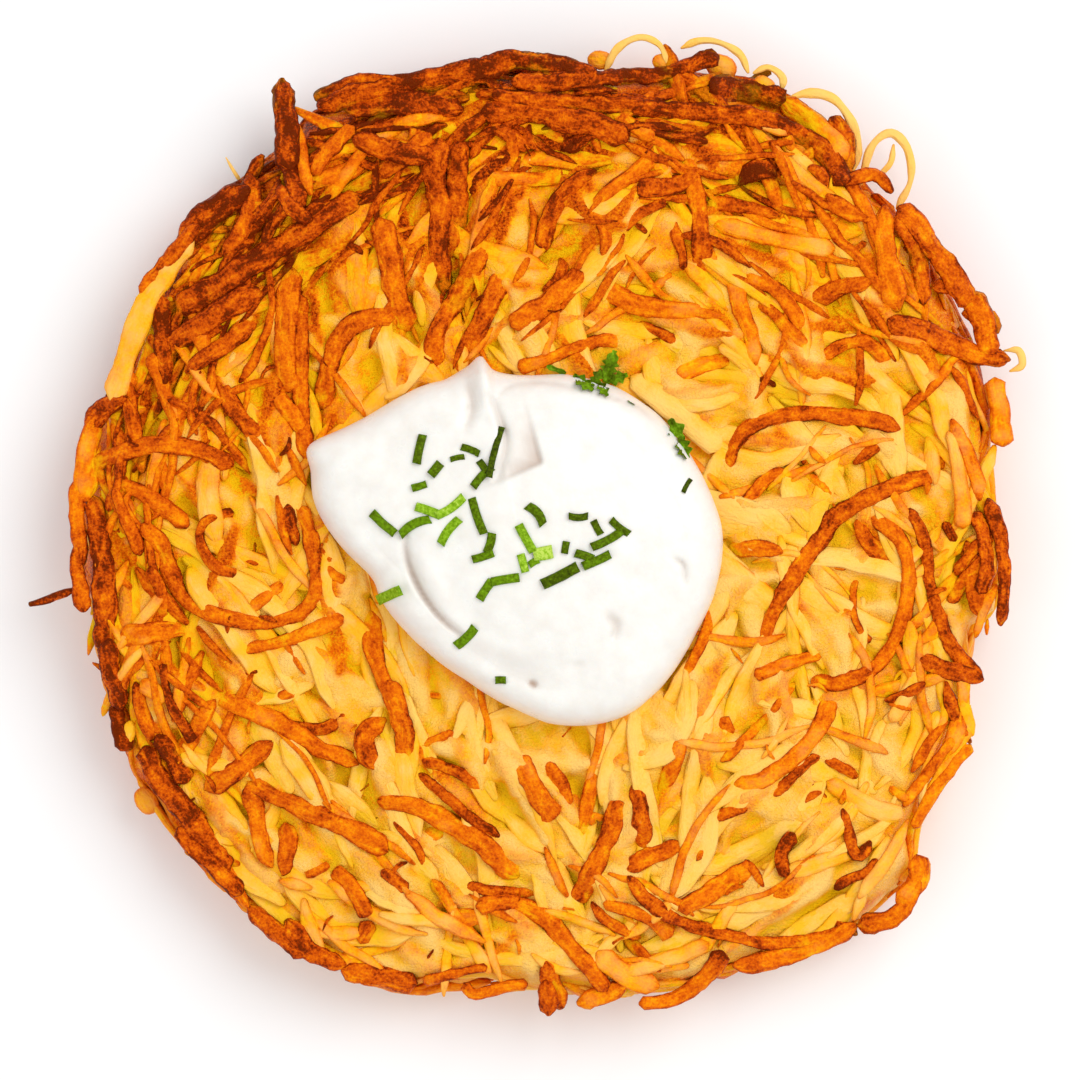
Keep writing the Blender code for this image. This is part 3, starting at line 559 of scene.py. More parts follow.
class Heap:
    """The upper surface of what is laid so far, and its looks, on a square grid of cells."""

    def __init__(self, heights, tone):
        self.z = heights
        self.tone = tone
        self.grain = np.zeros((*heights.shape, 3))
        self.laid = 0

    @staticmethod
    def cells():
        line = grid_line(CELL)
        return np.stack(np.meshgrid(line, line, indexing="ij"), -1)

    def under(self, xy):
        """Rows and columns of the cells nearest to points."""
        index = np.clip(np.rint((np.asarray(xy) + HALF) / CELL).astype(int), 0, len(self.z) - 1)
        return index[..., 0], index[..., 1]

    def at(self, xy):
        return self.z[self.under(xy)]

    def stamp(self, spine, width, thickness, tone=None):
        """Raises the surface to the top of a shred and, where a tone is given, colours it."""
        width = np.broadcast_to(width, len(spine))
        first = np.floor((spine[:, :2].min(0) - width.max() + HALF) / CELL).astype(int).clip(0)
        last = np.ceil((spine[:, :2].max(0) + width.max() + HALF) / CELL).astype(int) + 1
        x, y = (np.arange(first[k], min(last[k], len(self.z))) * CELL - HALF for k in (0, 1))
        spot = np.stack(np.meshgrid(x, y, indexing="ij"), -1)
        gap = spot[:, :, None] - spine[:, :2]
        near = (gap**2).sum(-1).argmin(-1)
        gap = np.take_along_axis(gap, near[..., None, None], 2)[:, :, 0]
        away = np.linalg.norm(gap, axis=-1) / (width[near] / 2)
        top = spine[near, 2] + thickness / 2 * np.sqrt(np.clip(1 - away**2, 0, 1))
        rows = slice(first[0], first[0] + len(x)), slice(first[1], first[1] + len(y))
        window = self.z[rows]
        above = (away < 1) & (top > window)
        window[above] = top[above]
        if tone is None:
            return
        ahead = unit(np.gradient(spine[:, :2], axis=0))[near]
        across = ahead[..., 0] * gap[..., 1] - ahead[..., 1] * gap[..., 0]
        step = np.linalg.norm(spine[1, :2] - spine[0, :2])
        grain = np.stack([near * step, across, np.full(near.shape, self.laid * 3.7 % 997)], -1)
        self.tone[rows][above] = (tone[near] + 0.1 * np.clip(away, 0, 1) ** 4)[above]
        self.grain[rows][above] = grain[above]
        self.laid += 1

    def evened(self):
        inside = self.z > 0
        weight = np.maximum(blur_grid(inside.astype(float), EVEN_SPREAD / CELL), 0.02)
        return blur_grid(np.where(inside, self.z, 0), EVEN_SPREAD / CELL) / weight

    def fuse(self):
        """Runs the surface together, as starch and fat do, and keeps its looks as they are now."""
        wide = self.evened()
        level = np.where(self.z > 0, np.maximum(self.z, wide - DEEPEST_GAP), wide)
        level = blur_grid(level, MELT_SPREAD / CELL)
        spots = self.cells()
        level += 0.22 * noise(spots, 2.8, 71) + 0.08 * noise(spots, 1.2, 72)
        radius = cake_radius(np.arctan2(spots[..., 1], spots[..., 0]))
        rim = np.clip((radius - np.linalg.norm(spots, axis=-1)) / 5, 0, 1)
        fibre = noise(self.grain * (0.22, 1.1, 1.0), 1.0, 73)
        self.skin = level
        # The top's relief, faded out at the rim: the material paints highlights on its crests and a partly
        # painted shade tint in its hollows.
        self.skin_relief = rim * np.clip((level - wide) / 1.1, -1.5, 1.5)
        self.skin_tone = blur_grid(self.tone + 0.14 * fibre, MELT_SPREAD / CELL)

    def settle(self):
        """Keeps an evened-out copy of the surface, to tell hollows from crests."""
        self.even = self.evened()

    def relief(self, points):
        """How far points stand above the evened-out surface, about -1 to 1. The material paints highlights on
        the crests from it, and a partly painted shade tint in the hollows.
        """
        return np.clip((points[:, 2] - self.even[self.under(points[:, :2])]) / 1.3, -1.5, 1.5)


def cad_surface(node):
    """The CAD node's mesh to cast rays at, in millimetres."""
    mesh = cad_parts[node].data
    mesh.calc_loop_triangles()
    corners = [v.co / MM for v in mesh.vertices]
    return BVHTree.FromPolygons(corners, [t.vertices[:] for t in mesh.loop_triangles])


def cad_reach(tree, bearing, level):
    """Radius of the solid at a bearing and a height."""
    out = Vector((*polar(1, bearing), 0))
    hit = tree.ray_cast(out * RAY_START + Vector((0, 0, level)), -out)[0]
    return hit.xy.length if hit else 0.0


def cad_top(tree):
    """Top of the solid on the coarse grid, without its narrow ridges."""
    line = grid_line(COARSE_CELL)
    found = np.full((len(line), len(line)), OUTSIDE)
    for i, j in np.ndindex(found.shape):
        hit = tree.ray_cast(Vector((line[i], line[j], RAY_START)), Vector((0, 0, -1)))[0]
        if hit:
            found[i, j] = hit.z
    for pick in (np.min, np.max):
        found = pick([np.roll(found, (a, b), (0, 1)) for a in (-1, 0, 1) for b in (-1, 0, 1)], axis=0)
    return found


def lie(x, y):
    """The bearing that the prominent shreds near a point share."""
    pull = 0
    for row in SHREDS:
        weight = math.exp(-((row[0] - x) ** 2 + (row[1] - y) ** 2) / 260) * row[3]
        pull += weight * complex(*polar(1, 2 * math.radians(row[2])))
    return np.angle(pull) / 2


def toast(x, y):
    """How brown the frying left a place: brownest at the rim, above all at the upper left."""
    radius, bearing = np.hypot(x, y), np.arctan2(y, x)
    side = (0.5 + 0.5 * np.cos(bearing - BROWNEST)) ** 1.4
    rim = smooth_step(radius, 34, 74)
    upper = np.clip(np.sin(bearing), 0, 1) ** 6 * smooth_step(radius, 40, 56)
    return 0.15 + side * (0.17 + 0.30 * rim) + 0.07 * upper + 0.03 * smooth_step(radius, 60, 80)


def bowed(x, y, bearing, length, bow, step):
    """Points along a parabola through x, y, whose middle lies bow to the left of its chord."""
    count = max(5, int(length / step) + 1)
    share = np.linspace(-1, 1, count)[:, None]
    along = np.array(polar(1, bearing))
    left = np.array([-along[1], along[0]])
    return np.array([x, y]) + along * share * length / 2 - left * bow * share**2


def wander(flat, amount, lane):
    """The path with a slow sideways waver and smaller kinks, as a real shred has."""
    along = travelled(flat)
    slow, kinks = (
        np.stack([line_noise(along, lane * 7.3, size, seed) for seed in seeds], -1)
        for size, seeds in ((7.0, (8, 9)), (2.6, (10, 13)))
    )
    return flat + amount * (slow + 0.4 * kinks)


def rest(flat, width, thickness, sunk, stiff):
    """Spine of a shred laid on the heap along a flat path. Past the rim it droops."""
    ahead = unit(np.gradient(flat, axis=0))
    left = np.stack([-ahead[:, 1], ahead[:, 0]], -1)
    held = cake_radius(np.arctan2(flat[:, 1], flat[:, 0])) - 2.0
    away = np.linalg.norm(flat, axis=1)
    beyond = np.maximum(away - held, 0)
    base = flat * (1 - beyond / away)[:, None]
    lanes = np.stack([heap.at(base + left * width * k) for k in (-0.3, 0, 0.3)])
    lanes = np.maximum(lanes, lanes.max(0) - 4)
    support = 0.5 * lanes.mean(0) + 0.5 * lanes.max(0) - DROOP * beyond
    level = blur_line(support, stiff / PATH_STEP)
    level = np.maximum(level, level * 0.4 + 0.6 * (support - 0.6))
    level = blur_line(level, 1.2)
    return np.column_stack([flat, level + (0.5 - sunk) * thickness])


def lay(
    bundle, flat, width, thickness, brown, sunk=0.4, stiff=2.2, sides=8, roll=0.0, sharp=0.1, dive=(0, 0),
    **more
):
    """Lays a shred on the heap, each end diving in by its own depth.

    With no bundle it becomes part of the fused bed."""
    spine = rest(flat, width, thickness, sunk, stiff)
    tone = brown + 0.10 * noise(spine, 5.0, 12)
    gaps = [np.linalg.norm(spine - end, axis=1) for end in spine[[0, -1]]]
    for gap, depth in zip(gaps, dive):
        under = 1 - smooth_step(gap, 0, 5)
        spine[:, 2] -= depth * under
        tone = tone - 0.12 * depth * under
    narrow = width * (0.4 + 0.6 * smooth_step(np.minimum(*gaps), -0.3, sharp))
    if bundle is None:
        heap.stamp(spine, narrow, thickness, tone)
        return
    heap.stamp(spine, narrow, thickness)
    taper = rng.uniform(-0.2, 0.2) * np.linspace(-1, 1, len(spine))
    vary = 1 + taper + 0.15 * noise(spine + bundle.count, 4.5, 11)
    bundle.add(spine, width * vary, thickness * (0.9 + 0.1 * vary), tone, sides, roll, sharp=sharp, **more)


def cake_radius(bearings):
    """Radius of the cake at its widest, from the solid, without the single shreds that stick out."""
    return np.interp(bearings, coarse_bearings, coarse_reach, period=2 * np.pi)


def wall_share(level):
    """Radius of the cake's side at a height, as a share of its widest."""
    return 1 - 0.03 * np.clip((3.5 - level) / 3.5, 0, 1) ** 2 - 0.02 * np.clip((level - 7) / 5, 0, 1) ** 2


def press_side(levels, bearings, tone, count):
    """Shreds pressed into the side, run together: how far it bulges, and how brown it is, at each level."""
    bulge = np.full((len(levels), len(bearings)), -0.6)
    tone = np.tile(tone, (len(levels), 1))
    for k in range(count):
        bearing, level = rng.uniform(-math.pi, math.pi), rng.uniform(0, 10.5)
        length, width = rng.uniform(8, 30), rng.uniform(1.6, 4.0)
        slope, bow = rng.normal(0, 0.3), rng.normal(0, 0.06) * length
        arc = ((bearings - bearing + np.pi) % (2 * np.pi) - np.pi) * SIDE_RADIUS
        path = level + slope * arc + bow * (1 - (2 * arc / length) ** 2)
        path += 0.5 * line_noise(arc, k, 6.0, 31)
        half = width / 2 * (0.4 + 0.6 * smooth_step(length / 2 - np.abs(arc), 0, 5))
        away = np.abs(levels[:, None] - path) / half / math.hypot(1, slope)
        top = rng.uniform(-0.3, 0.6) + 0.45 * width * (np.sqrt(np.clip(1 - away**2, 0, 1)) - 0.75)
        above = (away < 1) & (np.abs(arc) < length / 2) & (top > bulge)
        bulge[above] = top[above]
        shade = rng.uniform(-0.05, 0.32) + 0.12 * away**4
        browned = toast(*polar(SIDE_RADIUS, bearing)) + shade
        tone[above] = browned[above]
    return bulge, tone


def make_bed(material):
    """The fused body of the cake: its flat foot, its side, and the bed of shreds run together on top."""
    bearings = 2 * np.pi * np.arange(BED_SECTORS) / BED_SECTORS
    levels = np.linspace(0, WALL_TOP, SIDE_ROWS)
    out = np.stack([np.cos(bearings), np.sin(bearings)], -1)
    edge = (cake_radius(bearings) - RIM_INSET) * wall_share(WALL_TOP)
    points, tones, reliefs, bulges = [], [], [], []

    def add_row(spot, level, tone, relief, bulge):
        points.append(np.column_stack([spot, level]))
        tones.append(tone)
        reliefs.append(relief)
        bulges.append(bulge)

    rim_tone = toast(*(out * edge[:, None]).T)
    side_bulge, side_tone = press_side(levels, bearings, rim_tone, SIDE_COUNT)
    for level, bulge, tone in zip(levels, side_bulge, side_tone):
        inset = SIDE_INSET + (RIM_INSET - SIDE_INSET) * smooth_step(level, 7.5, WALL_TOP)
        spot = out * ((cake_radius(bearings) - inset) * wall_share(level))[:, None]
        under = 0.3 * smooth_step(2.5 - level, 0, 2.5)
        # The side's bulges stand in as its relief, so they get painted highlights and the hollows between
        # them a partly painted shade tint.
        add_row(spot, np.full(BED_SECTORS, level), tone + under, bulge * 1.4, bulge)
    from_cream = out * edge[:, None] - CREAM_CENTRE
    outer = np.linalg.norm(from_cream, axis=1)
    turn = np.arctan2(from_cream[:, 1], from_cream[:, 0])
    inner = 0.86 * cream_radius(turn)
    ray = np.stack([np.cos(turn), np.sin(turn)], -1)
    for share in np.linspace(0, 1, BED_ROWS + 1)[1:]:
        away = outer + (inner - outer) * share
        spot = CREAM_CENTRE + ray * away[:, None]
        inset = CREAM_CENTRE + ray * np.minimum(away, outer - 0.8)[:, None]
        level, tone, relief = (between(g, CELL, inset) for g in (heap.skin, heap.skin_tone, heap.skin_relief))
        depth = np.clip(1 - (outer - away) / RIM_ROUND, 0, 1)
        level = level - (level - WALL_TOP) * (1 - np.sqrt(1 - depth**2))
        add_row(spot, level, tone, relief, side_bulge[-1])
    nothing = np.zeros(BED_SECTORS)
    for share in UNDER_CREAM_RINGS:
        spot = CREAM_CENTRE + ray * (inner * share)[:, None]
        add_row(spot, between(heap.skin, CELL, spot) - 1.0, rim_tone, nothing, nothing)
    rows = len(points)
    points = np.concatenate(points)
    low = smooth_step(-points[:, 2], -WALL_TOP - 1.5, -WALL_TOP)
    lump = (0.7 * noise(points, 6.0, 21) + 0.2 * noise(points, 2.5, 22)) * (points[:, 2] > 0.2)
    lump += np.concatenate(bulges)
    points[:, :2] += unit(points[:, :2]) * (low * lump)[:, None]
    middle = [[0, 0, 0], [*CREAM_CENTRE, between(heap.skin, CELL, CREAM_CENTRE) - 1.0]]
    points = np.concatenate([points, middle])
    quads, tris = tube_faces(rows, BED_SECTORS)
    values = {
        "brown": np.append(np.concatenate(tones), [0.6, 0.2]),
        "relief": np.append(np.concatenate(reliefs), [0, 0]),
        "grain": points * (1 / FIBRE_STRETCH, 1, 1),
    }
    return mesh_object("fused_bed", points, quads, tris, values, material)


solid = cad_surface("rosti")
coarse_top = cad_top(solid)
coarse_bearings = 2 * np.pi * np.arange(REACH_BEARINGS) / REACH_BEARINGS
coarse_reach = np.max([[cad_reach(solid, b, z) for b in coarse_bearings] for z in REACH_LEVELS], axis=0)
coarse_reach = np.median([np.roll(coarse_reach, k) for k in range(-2, 3)], axis=0)
spots = Heap.cells()
surface = between(coarse_top, COARSE_CELL, spots) - CORE_INSET
inside = np.linalg.norm(spots, axis=-1) < cake_radius(np.arctan2(spots[..., 1], spots[..., 0]))
surface = np.where(inside, np.maximum(surface, CORE_LOWEST), OUTSIDE) + 0.5 * noise(spots, 6.0, 21)
heap = Heap(surface, toast(spots[..., 0], spots[..., 1]) + 0.1)


def scatter(spacing, margin):
    """Points on a shaken grid over the cake, at least margin inside its rim."""
    line = np.arange(-90, 90, spacing)
    found = np.array([(x, y) for x in line for y in line])
    found += rng.uniform(-0.45, 0.45, found.shape) * spacing
    rng.shuffle(found)
    room = cake_radius(np.arctan2(found[:, 1], found[:, 0])) - np.linalg.norm(found, axis=1)
    return found[room > margin]


def anywhere(radius, low, high):
    """A random place on the cake, between these shares of the area within the radius."""
    bearing = rng.uniform(-math.pi, math.pi)
    return polar(radius * math.sqrt(rng.uniform(low, high)), bearing)


def follow(x, y, length, spread):
    """Bearing and bow of a shred: with its neighbours inside, and round the cake near the rim."""
    bearing = lie(x, y) + math.radians(rng.normal(0, spread))
    bow = rng.normal(0, 0.08) * length
    radius = math.hypot(x, y)
    if radius > TURNING_RADIUS:
        tangent = math.atan2(y, x) + math.pi / 2
        share = 0.75 * smooth_step(radius, TURNING_RADIUS, 76)
        bearing += share * ((tangent - bearing + math.pi / 2) % math.pi - math.pi / 2)
        bow -= share * length**2 / 8 / radius * np.sign(math.cos(bearing - tangent))
    return bearing, bow


def lay_field(spacing, lengths, widths, spread, lift, sunk):
    """A layer of shreds that becomes part of the fused bed."""
    for x, y in scatter(spacing, 0.5):
        if cream_share((x, y)) < 0.8:
            continue
        length, width = rng.uniform(*lengths), rng.uniform(*widths)
        bearing, bow = follow(x, y, length, spread)
        flat = wander(bowed(x, y, bearing, length, bow, 0.8), 0.5, x)
        brown = toast(x, y) + lift + rng.normal(0, 0.07)
        thickness = width * rng.uniform(0.35, 0.5)
        lay(None, flat, width, thickness, max(brown, 0.05), sunk, sharp=rng.uniform(3, 8))


def lay_ribbons(bundle, spacing):
    """Flat shreds sunk in the bed, each tipped so that one edge stands proud, often one browner along its
    edge, partly from frying and partly as painted shade that outlines it.
    """
    for x, y in scatter(spacing, 3.0):
        if cream_share((x, y)) < 0.8:
            continue
        length, width = rng.uniform(11, 30), rng.uniform(2.2, 5.0)
        bearing, bow = follow(x, y, length, 32)
        flat = wander(bowed(x, y, bearing, length, bow, 1.0), 0.5, x)
        brown = max(0.02, toast(x, y) - 0.1 + rng.normal(0, 0.07))
        proud = rng.choice((-1, 1))
        line = max(0, rng.normal(0.14, 0.15))
        edges = (line, 0) if proud > 0 else (0, line)
        roll = proud * rng.uniform(0.08, 0.28)
        lay(bundle, flat, width, rng.uniform(0.7, 1.1), brown, 0.78, 1.8, 12, roll, boxy=1.0, edges=edges,
            rough=0.7, sharp=rng.uniform(3, 9))


def lay_prominent(bundle):
    for k, (x, y, degrees, length, bow, width, brown) in enumerate(SHREDS):
        flat = wander(bowed(x, y, math.radians(degrees), length, bow, 0.7), 0.6, k)
        lay_crisp(bundle, flat, width, brown)
    for k, (width, brown, *points) in enumerate(CURVED, len(SHREDS)):
        flat = wander(curve_through(points, int(travelled(points)[-1] / 0.7) + 2), 0.25, k)
        lay_crisp(bundle, flat, width, brown)


def lay_crisp(bundle, flat, width, brown):
    """One of the prominent shreds. Its ends dive in among the others, except near the rim."""
    width *= 0.9
    thickness = width * (0.42 if width > 2.3 else 0.6)
    # How much browner its edges are: partly crisper frying, partly painted shade that outlines it.
    line = 0.22 if brown > 0.4 else 0.08
    held = np.linalg.norm(flat[len(flat) // 2]) < HELD_RADIUS
    lay(bundle, flat, width, thickness, brown - (0.02 if brown < 0.8 else 0.06), 0.46, 1.8, CRISP_SIDES,
        rng.normal(0, 0.12), sharp=rng.uniform(0.2, 3.0), dive=rng.uniform(0, 1.3, 2) * held,
        ridge=0.25, edges=(line, line))


def lay_strings(bundle, count):
    """Thin stray shreds, the more of them the browner the place."""
    while count:
        x, y = anywhere(77, 0.08, 1)
        if cream_share((x, y)) < 0.95 or rng.random() > toast(x, y) * 1.6:
            continue
        length, width = rng.uniform(7, 22), rng.uniform(0.8, 1.7)
        heading, bow = follow(x, y, length, 30)
        flat = wander(bowed(x, y, heading, length, bow, 0.8), 0.7, x)
        brown = toast(x, y) + rng.uniform(0.12, 0.38)
        lay(bundle, flat, width, width * 0.6, brown, 0.45, 1.6, 8, sharp=3)
        count -= 1


def lay_tangle(bundle, count):
    """Thin crisp shreds along the rim, most of them where it browned most."""
    for _ in range(count):
        degrees = rng.uniform(55, 215) if rng.random() < 0.65 else rng.uniform(-145, 55)
        bearing = math.radians(degrees)
        x, y = polar(cake_radius(bearing) - rng.uniform(0.5, 13), bearing)
        length, width = rng.uniform(5, 19), rng.uniform(1.3, 3.0)
        heading = bearing + math.pi / 2 + math.radians(rng.normal(0, 32))
        flat = wander(bowed(x, y, heading, length, -(length**2) / 8 / 70, 0.7), 0.5, x)
        brown = toast(x, y) + 0.15 + rng.normal(0, 0.12)
        lay(bundle, flat, width, width * 0.5, brown, 0.4, 1.6, 12, rng.normal(0, 0.2),
            sharp=rng.uniform(0.5, 5), ridge=0.2)


def lay_sides(bundle, count):
    """Shreds that run round the side of the cake."""
    for k in range(count):
        bearing, level = rng.uniform(-math.pi, math.pi), rng.uniform(1.0, 10.5)
        length, width = rng.uniform(7, 24), rng.uniform(1.6, 3.6)
        slope = rng.normal(0, 0.3) + (rng.choice((-1, 1)) * 0.7 if length < 12 else 0)
        steps = max(6, int(length))
        away = np.linspace(-length / 2, length / 2, steps)
        bearings = bearing + away / SIDE_RADIUS / math.hypot(1, slope)
        waver = 0.5 * line_noise(away, k, 6.0, 31)
        levels = np.clip(level + slope * away / math.hypot(1, slope) + waver, 0.9, 11.0)
        reach = cake_radius(bearings) * wall_share(levels) + rng.uniform(-0.7, 0.2)
        reach += 0.7 * smooth_step(levels, 6.0, 8.5) - 1.2 * smooth_step(levels, 9.0, 11.2)
        reach = blur_line(reach, 1.5)
        spine = np.stack([reach * np.cos(bearings), reach * np.sin(bearings), levels], -1)
        brown = toast(*spine[steps // 2, :2]) + rng.uniform(-0.08, 0.36)
        vary = 1 + 0.13 * noise(spine, 4.0, 11)
        tone = brown + 0.08 * noise(spine, 5, 12)
        bundle.add(spine, width * 0.5 * vary, width * vary, tone, 10, rng.normal(0, 0.2), lowest=0.05,
                   sharp=rng.uniform(0.5, 5))


def lay_underside(bundle):
    """The fried underside: shreds pressed flat against the pan."""
    for x, y in scatter(8.6, 11.0):
        bearing = rng.uniform(0, math.pi)
        length, width = rng.uniform(14, 26), rng.uniform(3.2, 4.6)
        flat = bowed(x, y, bearing, length, rng.normal(0, 0.06) * length, 1.6)
        spine = np.column_stack([flat, np.full(len(flat), rng.uniform(0.35, 0.8))])
        bundle.add(spine, width, 2.0, 0.62 + rng.normal(0, 0.1), 8, lowest=0.02)


def lay_crumbs(bundle, count):
    """Crisp broken ends, caught in the hollows."""
    for _ in range(count):
        x, y = anywhere(80, 0.05, 0.93)
        flat = bowed(x, y, rng.uniform(0, math.pi), rng.uniform(1.5, 4.0), rng.normal(0, 0.5), 0.4)
        width = rng.uniform(0.7, 1.5)
        brown = min(0.85, toast(x, y) + rng.uniform(0.3, 0.6))
        lay(bundle, flat, width, width * 0.6, brown, 0.45, 1.0, 10, rng.normal(0, 0.3),
            sharp=rng.uniform(0.5, 4))


# ---------------------------------------------------------------- the cream

cream_low, cream_high = (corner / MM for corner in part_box("cream"))
CREAM_CENTRE = np.array([-3.0, -3.5])
CREAM_SECTORS = 380
CREAM_TOP_ROWS = 74
CREAM_EDGE_ROWS = 21
CREAM_EDGE_SHARE = 0.2  # share of the radius that the rounded edge takes
CREAM_FOOT = cream_low.z - 1.4
CREAM_WAIST = cream_low.z + 2.9
CREAM_CROWN = 3.0  # how far the middle stands above the rounded edge
CREAM_RISE = cream_high.z - CREAM_WAIST - CREAM_CROWN - 1.6
# The rows under the rounded edge: share of the radius, height over the foot, how far corners are eased off.
CREAM_FOOT_ROWS = ((0.90, 0, 0.9), (0.955, 1.2, 0.7), (0.985, 2.4, 0.4))
# The outline seen from above: x and y.
CREAM_OUTLINE = (
    (-38.2, 14.2),
    (-30, 18.2),
    (-20.5, 23.6),
    (-15.5, 25.2),
    (-12.2, 27),
    (-9.8, 28.8),
    (-7.5, 26.5),
    (-2, 25.8),
    (5.5, 25.8),
    (13, 23.4),
    (20, 18.6),
    (26, 11),
    (29.6, 3),
    (30.4, -3.5),
    (28.8, -11),
    (24.8, -19.5),
    (19.5, -27),
    (13, -31.4),
    (4, -32.4),
    (-4.5, -29.6),
    (-11.8, -25.2),
    (-18.2, -20.6),
    (-23, -16),
    (-26.6, -11.6),
    (-28.2, -7.6),
    (-33.6, -2),
    (-37.2, 4),
    (-38, 9.5),
)
# What the spoon left: a line, its width, how far it is raised, and how strong the painted shade, a warm
# beige, is along it.
GROOVES = (
    (((-22.3, 0), (-21.9, -4.2), (-20.5, -8.3), (-18, -12.5), (-15, -15.8), (-12.4, -17.8)), 0.7, -1.3, 0.7),
    (((-25.5, -4), (-24, -9.4), (-20.8, -14.6), (-16.4, -19)), 1.8, -0.3, 0.12),
    (((-19.8, -1), (-19.2, -4.6), (-17.9, -8), (-16.2, -11), (-14, -13.6)), 1.5, 0.4, 0.0),
    (((-13, -18), (-8.3, -20.2), (-2.5, -23.3), (3, -24)), 2.2, -0.5, 0.12),
    (((-8.4, 22.4), (-6.6, 18.6), (-5.6, 14), (-7, 8.2)), 0.8, -0.9, 0.35),
    (((-12.2, 26.4), (-11.6, 23), (-11.2, 20), (-12.2, 16.6)), 1.1, -1.0, 0.4),
    (((-9.6, 28), (-9.2, 24), (-8.9, 20)), 1.3, 0.9, 0.0),
    (((-7.5, 21.7), (-4.2, 23.9), (1.7, 24.2), (8.3, 22.8), (15.8, 20.5), (18.4, 18.2)), 0.55, -0.7, 0.3),
    (((11.0, -14.0), (12.6, -15.6), (12, -18.2)), 0.9, -0.9, 0.3),
    (((22.0, -4.6), (23.7, -5.8), (24.0, -8.8)), 0.5, -0.9, 0.3),
    (((-1.9, -25.0), (-0.4, -25.8)), 0.8, -0.6, 0.9),
    (((6.4, -21.5), (6.6, -23)), 1.4, -0.4, 0.1),
    (((16.2, -1.5), (16.8, -6), (14.4, -10.5)), 1.4, -0.3, 0.05),
    (((-26.5, 12), (-22, 16), (-17, 18.6)), 2.4, -0.35, 0.08),
    (((5, 5), (10, 5.6), (15, 3)), 1.6, -0.35, 0.1),
)
# The tuck where one fold of the cream slides under another: its corner, and a point along each of its edges.
TUCK_CORNER = np.array([0.6, 10.9])
TUCK_ENDS = ((-1.6, 19.4), (-5.8, 8.0))
TUCK_DEPTH = 1.0
TUCK_REACH = 5.5
# The round mound that the spoon turned up, the way its steep side faces, and the small peak beyond it.
SWIRL_CENTRE = np.array([-2.5, -5.0])
SWIRL_RADIUS = 18.5
SWIRL_FACING = math.radians(205)
PEAK = np.array([-9.9, 26.4])
PEAK_RISE = 1.8
PEAK_WIDTH = 2.6
LINE_POINTS = 60


def to_line(xy, path):
    """Distance to a path, and how far along it the nearest point is, from 0 to 1."""
    away = np.linalg.norm(xy[..., None, :] - curve_through(path, LINE_POINTS), axis=-1)
    return away.min(-1), away.argmin(-1) / (LINE_POINTS - 1)


def cream_radius(bearings):
    edge = curve_through(CREAM_OUTLINE, 720, closed=True) - CREAM_CENTRE
    angle = np.arctan2(edge[:, 1], edge[:, 0])
    order = np.argsort(angle)
    return np.interp(bearings, angle[order], np.linalg.norm(edge, axis=1)[order], period=2 * np.pi)


def cream_share(xy):
    """How far points are from the cream's centre, as a share of the way to its outline."""
    reach = np.asarray(xy, float) - CREAM_CENTRE
    return np.linalg.norm(reach, axis=-1) / cream_radius(np.arctan2(reach[..., 1], reach[..., 0]))


def inside_edge(xy, start, end):
    """Distance of points from the line between two others, positive on its right."""
    ahead = unit(np.subtract(end, start))
    gap = xy - start
    return gap[..., 0] * ahead[1] - gap[..., 1] * ahead[0]


def tuck(xy):
    """How near points in the tuck are to the edge that hides its depth, from 0 to 1."""
    right = inside_edge(xy, TUCK_ENDS[0], TUCK_CORNER)
    below = inside_edge(xy, TUCK_CORNER, TUCK_ENDS[1])
    within = smooth_step(right, -0.3, 0.7) * smooth_step(below, -0.3, 0.7)
    near = np.clip(1 - np.minimum(right, below * 1.4) / TUCK_REACH, 0, 1)
    return within * near * bell(np.linalg.norm(xy - TUCK_CORNER, axis=-1), 7.5)


def swirl(xy):
    """What the spoon did to the cream's top: up or down, and how much painted shade, a warm beige, is put
    there.
    """
    around = xy - SWIRL_CENTRE
    beyond = np.linalg.norm(around, axis=-1) - SWIRL_RADIUS
    facing = np.cos(np.arctan2(around[..., 1], around[..., 0]) - SWIRL_FACING)
    rise = 0.5 / (1 + np.exp(beyond / 1.2))
    rise -= 0.25 * bell(beyond, 1.7) * np.clip(0.35 + 0.65 * facing, 0, 1)
    rise -= 0.5 * bell(beyond + 6, 2.0) * np.clip(facing, 0, 1)
    rise -= TUCK_DEPTH * tuck(xy)
    rise += PEAK_RISE * bell(np.linalg.norm(xy - PEAK, axis=-1), PEAK_WIDTH)
    # Painted shade: a warm beige put into the tuck and along the grooves, where the folds would be shaded.
    painted_shade = 0.75 * tuck(xy)
    for path, width, height, shade in GROOVES:
        away, share = to_line(xy, path)
        ends = np.sqrt(np.sin(np.pi * np.clip(share, 0.02, 0.98)))
        rise += height * ends * bell(away, width)
        painted_shade = np.maximum(painted_shade, shade * ends * bell(away, width * 0.8))
    return rise + 0.4 * noise(xy, 9.0, 41) + 0.2 * noise(xy, 3.5, 42), painted_shade


def cream_height(xy):
    """Top of the cream at points inside its outline."""
    share = cream_share(xy)
    inner = 1 - CREAM_EDGE_SHARE
    lean = np.clip((share - inner) / CREAM_EDGE_SHARE, 0, 1)
    level = CREAM_WAIST + CREAM_RISE * np.sqrt(1 - lean**2)
    level += CREAM_CROWN * (1 - np.clip(share / inner, 0, 1) ** 2)
    return level + np.clip((1 - share) / CREAM_EDGE_SHARE, 0, 1) * swirl(np.asarray(xy, float))[0]


